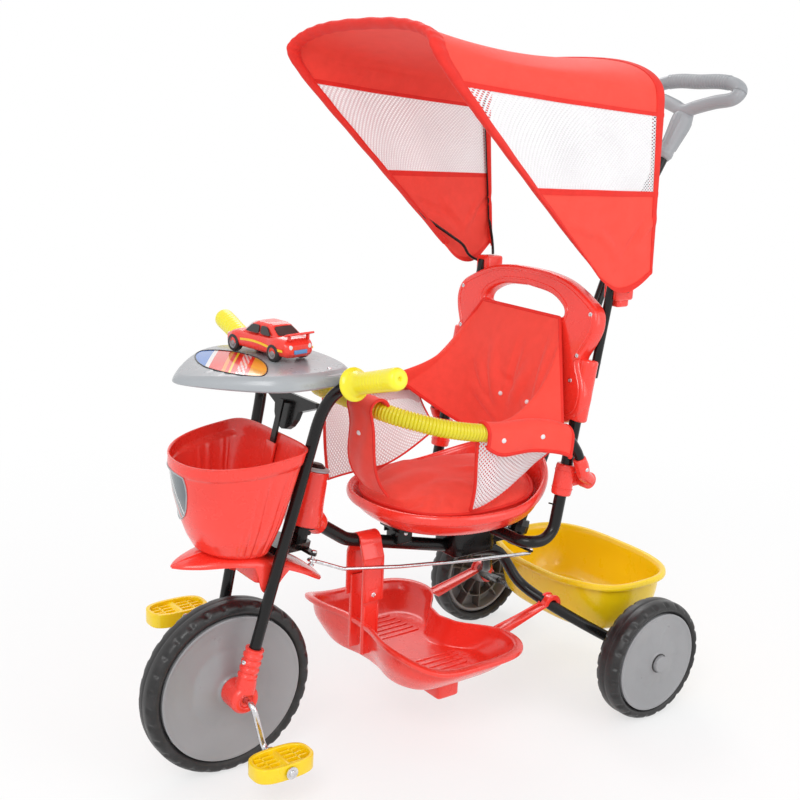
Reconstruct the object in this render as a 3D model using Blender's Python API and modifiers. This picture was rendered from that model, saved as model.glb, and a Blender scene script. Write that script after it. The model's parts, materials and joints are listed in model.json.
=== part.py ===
"""A child's push tricycle: steered fork, pedals, padded seat with guard ring, canopy and push pole.

The front axle's ground point is the working origin, forward is -Y, the rider's left is +X.
At the end everything is shifted so that the origin lies under the middle of the machine.
"""
import bpy
import bmesh
import math
import numpy as np
from mathutils import Matrix, Vector

# Driving dimensions, in metres and radians
gap = 0.0003
front_radius = 0.125
front_tyre_width = 0.042
front_disc_radius = 0.105
rear_radius = 0.0945
rear_tyre_width = 0.045
rear_disc_radius = 0.078
wheelbase = 0.619
track = 0.416
rake = math.radians(13.5)
steer_offset = 0.064
axle_radius = 0.005

fork_tube_radius = 0.008
fork_half_low = 0.045
fork_half_high = 0.077
fork_height = 0.41
bar_half = 0.226
bar_rise = 0.050
grip_radius = 0.0145
grip_flange_radius = 0.0225
grip_length = 0.100

head_tube_radius = 0.0150
head_tube_low = 0.222
head_tube_length = 0.078
stem_radius = 0.0115
head_cover_radius = 0.0200

crank_arm = 0.0625
crank_angle = math.radians(192.0)
crank_radius = 0.0042
crank_half = 0.082
pedal_half = 0.128
pedal_size = (0.052, 0.088, 0.021)

main_tube_radius = 0.0098
main_low_z = 0.2335
main_slope = 0.243
main_rear_y = 0.470
leg_radius = 0.0085
leg_axle_x = 0.165

seat_center_y = 0.372
seat_half_width = 0.142
seat_half_length = 0.158
seat_bottom_z = 0.3095
seat_rim_z = 0.350
seat_rise = 0.052
shell_wall = 0.0030

backrest_radius = 0.0088
backrest_x = 0.145
backrest_y = 0.467
backrest_z = 0.357
backrest_slope = 0.17
cross_y = 0.408
cross_z = 0.3000
back_thickness = 0.019
back_low_z = 0.462
back_top_z = 0.677

block_y = 0.554
block_z = 0.662
block_size = (0.030, 0.034, 0.028)
post_radius = 0.0065
bow_radius = 0.0022
canopy_half = 0.187
canopy_foot_half = 0.170
canopy_wall = 0.0024

ring_half = 0.154
ring_rear_x = 0.1700
ring_tube_radius = 0.0070
sleeve_radius = 0.0125
sleeve_groove = 0.0012
sleeve_ribs = 28

pole_radius = 0.0082
pole_y = 0.512
pole_z = 0.232
pole_slope = 0.389
pole_bend_z = 0.690
handle_half = 0.091
handle_radius = 0.0125

basket_half = 0.098
rear_basket_half = 0.148
tray_half = 0.170

colours = {
    "red_plastic": ((0.83, 0.035, 0.022, 1.0), 0.28, 0.0),
    "red_fabric": ((0.80, 0.050, 0.035, 1.0), 0.85, 0.0),
    "black_paint": ((0.012, 0.012, 0.013, 1.0), 0.22, 0.0),
    "black_rubber": ((0.014, 0.014, 0.015, 1.0), 0.45, 0.0),
    "grey_plastic": ((0.36, 0.37, 0.38, 1.0), 0.35, 0.0),
    "yellow_plastic": ((0.95, 0.66, 0.01, 1.0), 0.30, 0.0),
    "lemon_plastic": ((0.86, 0.76, 0.03, 1.0), 0.35, 0.0),
    "white_mesh": ((0.85, 0.83, 0.84, 1.0), 0.80, 0.0),
    "steel": ((0.62, 0.62, 0.64, 1.0), 0.22, 1.0),
}

for old in list(bpy.data.objects):
    bpy.data.objects.remove(old, do_unlink=True)

trike = bpy.data.collections.new("push_tricycle")
cutters = bpy.data.collections.new("cutters")
bpy.context.scene.collection.children.link(trike)
bpy.context.scene.collection.children.link(cutters)


def material(name):
    made = bpy.data.materials.get(name)
    if made:
        return made
    colour, roughness, metallic = colours[name]
    made = bpy.data.materials.new(name)
    made.use_nodes = True
    shader = made.node_tree.nodes["Principled BSDF"]
    shader.inputs["Base Color"].default_value = colour
    shader.inputs["Roughness"].default_value = roughness
    shader.inputs["Metallic"].default_value = metallic
    made.diffuse_color = colour
    return made


def finish(obj, colour, collection=trike):
    obj.data.materials.clear()
    obj.data.materials.append(material(colour))
    collection.objects.link(obj)
    if collection is cutters:
        obj.hide_render = True
        obj.display_type = "WIRE"
    return obj


def from_bmesh(name, shape, colour, collection=trike, smooth=True):
    bmesh.ops.recalc_face_normals(shape, faces=shape.faces)
    mesh = bpy.data.meshes.new(name)
    shape.to_mesh(mesh)
    shape.free()
    if smooth:
        mesh.shade_smooth()
        mesh.set_sharp_from_angle(angle=math.radians(35))
    return finish(bpy.data.objects.new(name, mesh), colour, collection)


def smooth_route(points, samples=6, closed=False):
    """A Catmull-Rom curve through the points, as a list of vectors."""
    pts = [Vector(p) for p in points]
    count = len(pts)
    spans = count if closed else count - 1
    route = []
    for i in range(spans):
        before = pts[(i - 1) % count] if closed or i else pts[0] * 2 - pts[1]
        after = pts[(i + 2) % count] if closed or i + 2 < count else pts[-1] * 2 - pts[-2]
        start, end = pts[i], pts[(i + 1) % count]
        for k in range(samples):
            t = k / samples
            route.append(0.5 * (2 * start + (end - before) * t
                                + (2 * before - 5 * start + 4 * end - after) * t * t
                                + (3 * start - before - 3 * end + after) * t ** 3))
    if not closed:
        route.append(pts[-1])
    return route


def bent_route(points, bend, steps=4):
    """Straight runs between the points, with an arc of the bend radius at each corner."""
    pts = [Vector(p) for p in points]
    route = [pts[0]]
    for before, corner, after in zip(pts, pts[1:], pts[2:]):
        into = (before - corner).normalized()
        out = (after - corner).normalized()
        half = into.angle(out) / 2
        reach = min(bend / math.tan(half), 0.48 * (before - corner).length, 0.48 * (after - corner).length)
        radius = reach * math.tan(half)
        middle = corner + (into + out).normalized() * (radius / math.sin(half))
        first = corner + into * reach - middle
        last = corner + out * reach - middle
        sweep = first.angle(last)
        for k in range(steps + 1):
            t = k / steps
            route.append(middle + (first * math.sin((1 - t) * sweep) + last * math.sin(t * sweep)) / math.sin(sweep))
    route.append(pts[-1])
    return route


def tube(name, route, radius, colour, collection=trike, sides=3, radii=None, closed=False):
    curve = bpy.data.curves.new(name, "CURVE")
    curve.dimensions = "3D"
    curve.bevel_depth = radius
    curve.bevel_resolution = sides
    curve.use_fill_caps = True
    spline = curve.splines.new("POLY")
    spline.points.add(len(route) - 1)
    for i, point in enumerate(route):
        spline.points[i].co = (*point, 1.0)
        spline.points[i].radius = radii[i] if radii else 1.0
    spline.use_cyclic_u = closed
    return finish(bpy.data.objects.new(name, curve), colour, collection)


def as_mesh(obj):
    """The curve object turned into a mesh object of the same name, with its caps welded."""
    name, colour = obj.name, obj.data.materials[0].name
    collection = obj.users_collection[0]
    bpy.context.view_layer.update()
    ready = obj.evaluated_get(bpy.context.evaluated_depsgraph_get())
    mesh = bpy.data.meshes.new_from_object(ready)
    place = obj.matrix_world.copy()
    bpy.data.objects.remove(obj, do_unlink=True)
    shape = bmesh.new()
    shape.from_mesh(mesh)
    bmesh.ops.remove_doubles(shape, verts=shape.verts, dist=0.00001)
    made = from_bmesh(name, shape, colour, collection)
    made.matrix_world = place
    return made


def turned(name, profile, base, direction, colour, collection=trike, steps=24, ring=False):
    """A profile of (radius, height) pairs, from the bottom up, turned about the line from base."""
    points = [(radius, 0.0, height) for radius, height in reversed(profile)]
    edges = [(i, i + 1) for i in range(len(points) - 1)]
    if ring:
        edges.append((len(points) - 1, 0))
    mesh = bpy.data.meshes.new(name)
    mesh.from_pydata(points, edges, [])
    obj = finish(bpy.data.objects.new(name, mesh), colour, collection)
    screw = obj.modifiers.new("turned", "SCREW")
    screw.steps = screw.render_steps = steps
    screw.use_merge_vertices = True
    screw.merge_threshold = 0.00001
    screw.use_smooth_shade = True
    obj.matrix_world = Matrix.Translation(base) @ Vector(direction).to_track_quat("Z",
            "Y").to_matrix().to_4x4()
    return obj


def rod_cutter(name, start, end, radius, steps=16):
    length = (Vector(end) - Vector(start)).length
    return turned(name, [(0, 0), (radius, 0), (radius, length), (0, length)], start,
                  Vector(end) - Vector(start), "steel", cutters, steps)


def box(name, low, high, colour, collection=trike, bevel=0.0):
    low, high = Vector(low), Vector(high)
    size = high - low
    shape = bmesh.new()
    place = Matrix.Translation((low + high) / 2) @ Matrix.Diagonal((*size, 1.0))
    bmesh.ops.create_cube(shape, size=1.0, matrix=place)
    if bevel:
        bmesh.ops.bevel(shape, geom=list(shape.edges), offset=bevel, segments=1, profile=0.5, affect="EDGES")
    return from_bmesh(name, shape, colour, collection)


def boolean(obj, tool, operation="DIFFERENCE"):
    step = obj.modifiers.new(operation.lower() + "_" + tool.name, "BOOLEAN")
    step.operation = operation
    step.object = tool
    step.solver = "EXACT"
    return obj


def plate(name, outline, thickness, place, colour, holes=(), collection=trike):
    """A flat outline (with holes) given a thickness about its own plane, then placed."""
    curve = bpy.data.curves.new(name, "CURVE")
    curve.dimensions = "2D"
    curve.fill_mode = "BOTH"
    curve.extrude = thickness / 2
    for loop in (outline, *holes):
        spline = curve.splines.new("POLY")
        spline.points.add(len(loop) - 1)
        for i, point in enumerate(loop):
            spline.points[i].co = (point[0], point[1], 0.0, 1.0)
        spline.use_cyclic_u = True
    obj = finish(bpy.data.objects.new(name, curve), colour, collection)
    obj.matrix_world = place
    return as_mesh(obj)


def round_edges(obj, width, segments=2):
    soften = obj.modifiers.new("rounded", "BEVEL")
    soften.width = width
    soften.segments = segments
    soften.limit_method = "ANGLE"
    soften.angle_limit = math.radians(50)
    return obj


def loft(name, rings, colour, collection=trike, join_ends=False):
    """Skin over rings of equal count; the ends are capped, or the last ring is joined to the first."""
    shape = bmesh.new()
    rows = [[shape.verts.new(point) for point in ring] for ring in rings]
    pairs = list(zip(rows, rows[1:]))
    if join_ends:
        pairs.append((rows[-1], rows[0]))
    for lower, upper in pairs:
        for i in range(len(lower)):
            j = (i + 1) % len(lower)
            shape.faces.new((lower[i], lower[j], upper[j], upper[i]))
    if not join_ends:
        shape.faces.new(rows[0])
        shape.faces.new(rows[-1])
    return from_bmesh(name, shape, colour, collection)


def sheet(name, surface, across, along, thickness, colour):
    """A cloth of the given thickness over surface(u, v), u and v from 0 to 1, put on both sides of it."""
    shape = bmesh.new()
    grid = [[Vector(surface(i / across, k / along)) for k in range(along + 1)] for i in range(across + 1)]
    sides = []
    for sign in (-0.5, 0.5):
        rows = []
        for i in range(across + 1):
            row = []
            for k in range(along + 1):
                du = grid[min(i + 1, across)][k] - grid[max(i - 1, 0)][k]
                dv = grid[i][min(k + 1, along)] - grid[i][max(k - 1, 0)]
                row.append(shape.verts.new(grid[i][k] + du.cross(dv).normalized() * thickness * sign))
            rows.append(row)
        sides.append(rows)
    for rows in sides:
        for i in range(across):
            for k in range(along):
                shape.faces.new((rows[i][k], rows[i + 1][k], rows[i + 1][k + 1], rows[i][k + 1]))
    edge = [(i, 0) for i in range(across)] + [(across, k) for k in range(along)]
    edge += [(i, along) for i in range(across, 0, -1)] + [(0, k) for k in range(along, 0, -1)]
    for (i, k), (m, n) in zip(edge, edge[1:] + edge[:1]):
        shape.faces.new((sides[0][i][k], sides[0][m][n], sides[1][m][n], sides[1][i][k]))
    return from_bmesh(name, shape, colour)


def oval(center, half_x, half_y, power=2.4, count=32):
    """A superellipse in a level plane: |x/a|^p + |y/b|^p = 1."""
    ring = []
    for i in range(count):
        angle = math.tau * i / count
        c, s = math.cos(angle), math.sin(angle)
        ring.append(Vector((center[0] + half_x * math.copysign(abs(c) ** (2 / power), c),
                            center[1] + half_y * math.copysign(abs(s) ** (2 / power), s), center[2])))
    return ring


def mirrored(points):
    """The outline's right half, from the middle's first to last point, completed on the left."""
    return list(points) + [(-x, y) for x, y in reversed(points) if abs(x) > 1e-6]


def axis_empty(name, place, parent=None):
    empty = bpy.data.objects.new(name, None)
    empty.empty_display_size = 0.03
    trike.objects.link(empty)
    empty.location = place
    if parent:
        empty.parent = parent
        empty.matrix_parent_inverse = parent.matrix_world.inverted()
    bpy.context.view_layer.update()
    return empty


def carry(empty, *pieces):
    bpy.context.view_layer.update()
    for piece in pieces:
        piece.parent = empty
        piece.matrix_parent_inverse = empty.matrix_world.inverted()


side_names = ((1, "left"), (-1, "right"))
wheel_centre = Vector((0, 0, front_radius))
steer_up = Vector((0, math.sin(rake), math.cos(rake)))
steer_front = Vector((0, -math.cos(rake), math.sin(rake)))


def on_fork(x, front, up):
    """A point given across, ahead of and along the fork's own plane, from the wheel's centre."""
    return wheel_centre + Vector((x, 0, 0)) + steer_front * front + steer_up * up


def wheel(name, centre, radius, disc_radius, width, outward, spokes_side, bore):
    """A tyre ring on a moulded disc; both turn about the axle's line."""
    half = width / 2
    axis = Vector((outward, 0, 0))
    centre = Vector(centre)
    bed = disc_radius
    tyre = turned(name + "_tyre", [
        (bed + gap, -half * 0.72), (bed + 0.35 * (radius - bed), -half), (radius - 0.0060, -half * 0.95),
        (radius, -half * 0.55), (radius, half * 0.55), (radius - 0.0060, half * 0.95),
        (bed + 0.35 * (radius - bed), half), (bed + gap, half * 0.72)],
        centre, axis, "black_rubber", steps=28, ring=True)
    lip = half * 0.90
    inner = -half * 0.55 if spokes_side else -lip
    core = -half * (0.12 if spokes_side else 0.62)
    rim = bed - 0.007
    disc = turned(name + "_disc", [
        (bore, -half * 1.12), (bore + 0.012, -half * 1.12), (bore + 0.014, core), (rim - 0.006, core),
        (rim, inner - 0.004), (bed, inner), (bed, lip), (rim - 0.006, lip - 0.005),
        (bore + 0.012, lip + 0.004), (bore, lip + 0.004)],
        centre, axis, "grey_plastic", steps=28, ring=True)
    return tyre, disc


# Wheels, axle and caps
front_tyre, front_disc = wheel("front_wheel", wheel_centre, front_radius, front_disc_radius,
                               front_tyre_width, 1, False, crank_radius + gap)
rear_axle_half = track / 2 + rear_tyre_width / 2 + 0.006
rear_centre = Vector((0, wheelbase, rear_radius))
rear_axle = tube("rear_axle", [rear_centre + Vector((-rear_axle_half, 0, 0)),
                               rear_centre + Vector((rear_axle_half, 0, 0))], axle_radius, "steel")
rear_axle_bore = axle_radius + gap
rear_wheels = {}
for side, word in side_names:
    centre = rear_centre + Vector((side * track / 2, 0, 0))
    tyre, disc = wheel("rear_wheel_" + word, centre, rear_radius, rear_disc_radius,
                       rear_tyre_width, side, True, rear_axle_bore)
    cap_base = rear_tyre_width / 2 * 0.90 + 0.004 + gap
    cap = turned("hub_cap_" + word, [
        (0, 0.0), (0.0135, 0.0), (0.0135, 0.0045), (0.0100, 0.0080), (0, 0.0080)],
        centre + Vector((side * cap_base, 0, 0)), (side, 0, 0), "grey_plastic", steps=12)
    hole = rod_cutter("cap_hole_" + word, centre + Vector((side * (cap_base - 0.01), 0, 0)),
                      rear_centre + Vector((side * (rear_axle_half + gap), 0, 0)), rear_axle_bore)
    boolean(cap, hole)
    rear_wheels[side] = (tyre, disc, cap)

# Crank and pedals
arm = Vector((0, math.sin(crank_angle) * -crank_arm, math.cos(crank_angle) * crank_arm))
spindle_half = pedal_half + pedal_size[0] / 2 + 0.004
crank_points = [wheel_centre - arm - Vector((spindle_half, 0, 0)),
                wheel_centre - arm - Vector((crank_half, 0, 0)),
                wheel_centre - Vector((crank_half, 0, 0)) + Vector((0.006, 0, 0)),
                wheel_centre + Vector((crank_half, 0, 0)) - Vector((0.006, 0, 0)),
                wheel_centre + arm + Vector((crank_half, 0, 0)), wheel_centre + arm + Vector((spindle_half,
                        0, 0))]
crank = tube("crank", bent_route(crank_points, 0.009, 3), crank_radius, "steel", sides=2)
pedals = {}
for side, word in side_names:
    middle = wheel_centre + arm * side + Vector((side * pedal_half, 0, 0))
    half = Vector(pedal_size) / 2
    rim = [(p.x, p.y) for p in oval((0, 0, 0), half.x, half.y, 3.2, 16)]
    windows = [[(p.x, p.y) for p in oval((0, y, 0), half.x - 0.008, half.y * 0.27, 2.8, 8)]
               for y in (-half.y * 0.53, half.y * 0.53)]
    pedal = plate("pedal_" + word, rim, pedal_size[2], Matrix.Translation(middle), "yellow_plastic", windows)
    bore = rod_cutter("pedal_bore_" + word, middle - Vector((0.06, 0, 0)), middle + Vector((0.06, 0, 0)),
                      crank_radius + gap, 14)
    boolean(pedal, bore)
    pedals[side] = pedal

# Fork, handlebar and what they carry
fork_foot = 0.024
bar_low = fork_height + 0.020
bar_z = wheel_centre.z + (steer_up * bar_low).z
bar_y = (steer_up * bar_low).y
grip_end = Vector((bar_half, bar_y + 0.010, bar_z + bar_rise))
grip_start = Vector((fork_half_high + 0.030, bar_y + 0.006, bar_z + 0.016))
grip_way = (grip_end - grip_start).normalized()
fork_pieces = []
fork_clear = {}
for side, word in side_names:
    flip = Vector((side, 1, 1))
    low = on_fork(side * fork_half_low, 0, fork_foot)
    high = on_fork(side * fork_half_high, 0, fork_height)
    legs = bent_route([low, high, grip_start * flip, (grip_end - grip_way * 0.006) * flip], 0.030)
    leg = tube("fork_leg_" + word, legs, fork_tube_radius, "black_paint")
    fork_clear[side] = as_mesh(tube("fork_clear_" + word, legs, fork_tube_radius + gap, "steel", cutters))
    grip_base = grip_end - grip_way * grip_length
    bore = fork_tube_radius + gap
    grip = turned("grip_" + word, [
        (bore, 0), (grip_flange_radius, 0.0015), (grip_flange_radius, 0.0055), (grip_radius + 0.001, 0.0105),
        (grip_radius - 0.0015, 0.018), (grip_radius, grip_length * 0.55), (grip_radius, grip_length - 0.006),
        (grip_radius - 0.005, grip_length), (0, grip_length), (0, grip_length - 0.006 + gap),
        (bore,
         grip_length - 0.006 + gap)], grip_base * flip, grip_way * flip, "lemon_plastic", steps=14, ring=True)
    slope = on_fork(side * fork_half_high, 0, fork_height) - on_fork(side * fork_half_low, 0, fork_foot)
    way = slope.normalized()
    foot = low - way * (fork_foot - 0.014)
    rib_profile = [(0, 0)]
    sleeve_length = 0.058
    ribs = 4
    for k in range(ribs):
        start = sleeve_length * k / ribs
        rib_profile += [(0.0135, start), (0.0118, start + 0.0085)]
    rib_profile += [(0.0118, sleeve_length), (0, sleeve_length)]
    end = turned("fork_end_" + word, rib_profile, foot, way, "red_plastic", steps=10)
    hub_in = front_tyre_width / 2 * 1.12 + gap
    if side > 0:
        hub_in = front_tyre_width / 2 * 0.90 + 0.004 + gap
    hub_out = fork_half_low + 0.0135
    knob = turned("fork_knob_" + word, [(0, hub_in), (0.0185, hub_in), (0.0205, hub_in + 0.003),
                                        (0.0205, hub_out - 0.005), (0.017, hub_out), (0, hub_out)],
                  wheel_centre, (side, 0, 0), "red_plastic", cutters, 14)
    boolean(end, knob, "UNION")
    socket = rod_cutter("fork_socket_" + word, low - way * gap, low + way * 0.08, fork_tube_radius + gap, 14)
    boolean(end, socket)
    axle_hole = rod_cutter("fork_axle_hole_" + word, wheel_centre,
                           wheel_centre + Vector((side * 0.07, 0, 0)),
                           crank_radius + gap, 12)
    boolean(end, axle_hole)
    fork_pieces += [leg, grip, end]

# Steering stem with its crown plate, in the head tube
stem_low = head_tube_low - 0.020
stem = turned("steering_stem", [(0, 0), (stem_radius, 0),
                                (stem_radius, head_tube_length + 0.020 + 0.012), (0.0145,
                                        head_tube_length + 0.033),
                                (0.0145, head_tube_length + 0.038), (0.010, head_tube_length + 0.042),
                                (0, head_tube_length + 0.043)],
              on_fork(0, -steer_offset, stem_low), steer_up, "black_paint", steps=16)
crown_half = fork_half_low + (fork_half_high - fork_half_low) * stem_low / fork_height - fork_tube_radius - 0.0015
fork_turn = Matrix((Vector((1, 0, 0)), -steer_front, steer_up)).transposed().to_4x4()
crown_outline = mirrored([(crown_half, -0.006), (crown_half, 0.006),
                          (0.018, steer_offset + 0.004), (0.010, steer_offset + 0.014), (0,
                                  steer_offset + 0.016)])
crown = plate("crown_plate", crown_outline, 0.010,
              Matrix.Translation(on_fork(0, 0,
                                         stem_low + 0.006)) @ fork_turn, "black_paint", collection=cutters)
boolean(stem, crown, "UNION")
lever_x = 0.042
lever_outline = [(0, -0.008), (lever_x, -0.006), (lever_x + 0.006, 0), (lever_x, 0.006), (0, 0.008)]
fork_lever = plate("fork_lever_plate", lever_outline, 0.004,
                   Matrix.Translation(on_fork(0, -steer_offset, stem_low + 0.002)) @ fork_turn,
                   "black_paint", collection=cutters)
boolean(stem, fork_lever, "UNION")
fork_pieces.append(stem)

stem_plate_up = fork_height - 0.014
plate_half = fork_half_high - fork_tube_radius + 0.001
lobe_half, lobe_drop = 0.031, 0.032
stem_outline = mirrored([(lobe_half * math.sin(math.radians(a)), 0.004 - (lobe_drop + 0.004) * math.cos(math.radians(a)))
                         for a in (0, 20, 40, 60, 80)] + [(plate_half, 0.012), (plate_half - 0.004, 0.018)])
upright = Matrix((Vector((1, 0, 0)), steer_up, -steer_front)).transposed().to_4x4()
stem_plate = plate("stem_plate", stem_outline, 0.008,
                   Matrix.Translation(on_fork(0, 0, stem_plate_up)) @ upright, "black_paint")
hanger_ahead = fork_tube_radius + 0.001 + shell_wall - 0.0003
hanger_top, hanger_low = stem_plate_up + 0.008, stem_plate_up - 0.121
hanger_outline = [(-0.001, hanger_top), (hanger_ahead + 0.003, hanger_top), (hanger_ahead + 0.003, hanger_low),
                  (hanger_ahead, hanger_low), (hanger_ahead, hanger_top - 0.004), (-0.001, hanger_top - 0.004)]
side_turn = Matrix((steer_front, steer_up, steer_front.cross(steer_up))).transposed().to_4x4()
hanger = plate("basket_hanger", hanger_outline, 0.011, Matrix.Translation(wheel_centre) @ side_turn,
               "black_paint", collection=cutters)
boolean(stem_plate, hanger, "UNION")
for side in (1, -1):
    boolean(stem_plate, fork_clear[side])
fork_pieces.append(stem_plate)

console_z = bar_z + 0.0195
console_half = 0.110
console_outline = mirrored([(0, -0.0775), (0.020, -0.0700), (0.060, -0.0380), (0.096, 0.0),
                            (console_half, 0.030),
                            (0.111, 0.060), (0.107, 0.088), (0.099, 0.118), (0.084, 0.140), (0.050,
                                    0.150), (0, 0.152)])


def shrunk(outline, share, middle_y):
    return [Vector((x * share, middle_y + (y - middle_y) * share)) for x, y in outline]


console_levels = [(0.80, 0.0), (0.965, 0.0045), (1.0, 0.012), (0.985, 0.0175), (0.93, 0.0195), (0.90,
        0.0155)]
console = loft("console", [[(p.x, p.y, console_z + z) for p in shrunk(console_outline, share, 0.03)]
                           for share, z in console_levels], "grey_plastic")
for side, word in side_names:
    lug = box("console_lug_" + word, (min(side * 0.082, side * 0.104), 0.070, console_z - 0.004),
              (max(side * 0.082, side * 0.104), 0.114, console_z + 0.014), "grey_plastic", cutters)
    boolean(console, lug, "UNION")
    boolean(console, fork_clear[side])
car_place = Matrix.Translation((-0.012, 0.066,
                                console_z + 0.0155 + gap)) @ Matrix.Rotation(math.radians(-82), 4, "Z")
car_side = [(-0.066, 0.010), (-0.062, 0.024), (-0.026, 0.031), (-0.008, 0.046), (0.024, 0.046), (0.044,
        0.035),
            (0.064, 0.031), (0.067, 0.012), (0.061, 0.005), (-0.061, 0.005)]
car_stand = Matrix((Vector((0, 1, 0)), Vector((0, 0, 1)), Vector((1, 0, 0)))).transposed().to_4x4()
car = plate("toy_car", car_side, 0.048, car_place @ car_stand, "red_plastic")
wheel_r = 0.0105
for number, (along, across) in enumerate(((-0.042, 0.023), (-0.042, -0.023), (0.042, 0.023),
                                          (0.042, -0.023))):
    hub_point = car_place @ Vector((across - 0.005, along, wheel_r))
    car_wheel = turned("car_wheel_%d" % number, [(0, 0), (wheel_r, 0), (wheel_r, 0.010), (0, 0.010)],
                       hub_point,
                       car_place.to_3x3() @ Vector((1, 0, 0)), "grey_plastic", cutters, 8)
    boolean(car, car_wheel, "UNION")
fork_pieces += [console, car]


def basket(name, levels, wall, floor, colour, power=2.4, count=24):
    """An open tub: outer rings from the bottom up, then the inner ones down to the floor."""
    outer = [oval(c, a, b, power, count) for c, a, b in levels]
    inner = [oval(c, a - wall, b - wall, power, count) for c, a, b in levels[::-1]]
    for point in inner[-1]:
        point.z += floor
    return loft(name, outer + inner, colour)


def fork_tub(points):
    """Tub rings, square at the fork and round ahead: (up the fork, half width, depth, drop of the front)."""
    rings = []
    for up, half, depth, drop in points:
        ring = []
        for i in range(24):
            angle = math.tau * i / 24
            c, s = math.cos(angle), math.sin(angle)
            power = 0.42 if s > 0 else 0.92
            x = half * math.copysign(abs(c) ** power, c)
            ahead = fork_tube_radius + 0.001 + depth * 0.30 - depth * (0.30 if s > 0 else 0.70) * math.copysign(
                abs(s) ** power, s)
            spot = on_fork(x, ahead, up)
            spot.z -= drop * max(0.0, ahead) / depth
            ring.append(spot)
        rings.append(ring)
    return rings


tub = [(0.198, 0.036, 0.062, 0.012), (0.205, 0.052, 0.084, 0.014), (0.255, 0.074, 0.114, 0.030),
       (0.348, 0.092, 0.148, 0.052), (0.360, basket_half, 0.153, 0.056)]
tub_outer = fork_tub(tub)
tub_inner = fork_tub([(up, half - shell_wall, depth - 2 * shell_wall, drop) for up, half, depth,
                      drop in tub[::-1]])
for ring in tub_inner:
    for point in ring:
        point += steer_front * shell_wall
for point in tub_inner[-1]:
    point += steer_up * shell_wall
for point in tub_inner[-2]:
    point += steer_up * shell_wall
front_basket = loft("front_basket", tub_outer + tub_inner, "red_plastic")

guard_reach = front_radius + 0.030
guard_angles = [math.radians(a) for a in (-26, -14, 0, 14, 28, 42, 54)]
guard_half = fork_half_low - fork_tube_radius - 0.003


def guard_ring_at(angle, lift):
    """One cross-section of the mudguard: flat crown, sides turned down, at this angle past upright."""
    centre = wheel_centre + Vector((0, math.sin(angle), math.cos(angle))) * guard_reach
    outwards = Vector((0, math.sin(angle), math.cos(angle)))
    fade = 1.0 if angle < math.radians(30) else 1.0 - 0.4 * (angle - math.radians(30)) / math.radians(24)
    spread = guard_half * fade
    shape = [(-1.0, -0.010), (-0.97, -0.001), (-0.80, 0.004), (0, 0.007), (0.80, 0.004), (0.97, -0.001),
             (1.0, -0.010)]
    top = [centre + Vector((x * spread, 0, 0)) + outwards * (z + lift) for x, z in shape]
    under = [centre + Vector((x * (spread - 0.0025), 0, 0)) + outwards * (z + lift - 0.0028) for x,
             z in shape[::-1]]
    return top + under


mudguard = loft("mudguard", [guard_ring_at(a, 0.030 if a < 0 else 0.030) for a in guard_angles],
                "red_plastic")
flange_up = guard_reach + 0.030
flange_half = fork_half_low + (fork_half_high - fork_half_low) * (flange_up - fork_foot) / (fork_height - fork_foot)
flange_outline = mirrored([(flange_half + 0.011, -0.011), (flange_half + 0.011, 0.011)])
flange = plate("guard_flange", flange_outline, 0.005, Matrix.Translation(on_fork(0, 0,
        flange_up + 0.002)) @ fork_turn,
               "red_plastic", collection=cutters)
boolean(mudguard, flange, "UNION")
for side in (1, -1):
    boolean(mudguard, fork_clear[side])
fork_pieces += [front_basket, mudguard]

# Main frame
head_y = on_fork(0, -steer_offset, head_tube_low).y
head_z = on_fork(0, -steer_offset, head_tube_low).z
head_tube = turned("head_tube", [(stem_radius + gap, 0), (head_tube_radius, 0),
                                 (head_tube_radius, head_tube_length),
                                 (stem_radius + gap, head_tube_length)],
                   on_fork(0, -steer_offset, head_tube_low), steer_up, "black_paint", steps=16, ring=True)


def main_point(y, x=0.0):
    """A point on the main tube's straight run."""
    return Vector((x, y, main_low_z + (main_rear_y - y) * main_slope))


joint_point = on_fork(0, -steer_offset, head_tube_low + 0.014)
main_route = bent_route([joint_point, main_point(0.190), main_point(main_rear_y)], 0.045, 5)
main_tube = as_mesh(tube("main_tube", main_route, main_tube_radius, "black_paint"))
head_clear = rod_cutter("head_clear", on_fork(0, -steer_offset, head_tube_low - 0.03),
                        on_fork(0, -steer_offset, head_tube_low + 0.10), head_tube_radius + gap, 20)
boolean(main_tube, head_clear)

cover_low = head_tube_low + 0.006
cover_top = head_tube_low + head_tube_length - 0.004
head_cover = turned("head_cover", [
    (head_tube_radius + gap, cover_low), (head_cover_radius, cover_low), (head_cover_radius,
            cover_low + 0.008),
    (head_cover_radius - 0.002, cover_low + 0.014), (head_cover_radius - 0.002, cover_top - 0.016),
    (head_cover_radius + 0.001, cover_top - 0.010), (head_cover_radius + 0.001, cover_top),
    (head_tube_radius + gap, cover_top)], on_fork(0, -steer_offset,
                                                  0), steer_up, "red_plastic", steps=16, ring=True)
main_clear = tube("main_clear", main_route, main_tube_radius + gap, "steel", cutters)
boolean(head_cover, as_mesh(main_clear))

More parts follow.
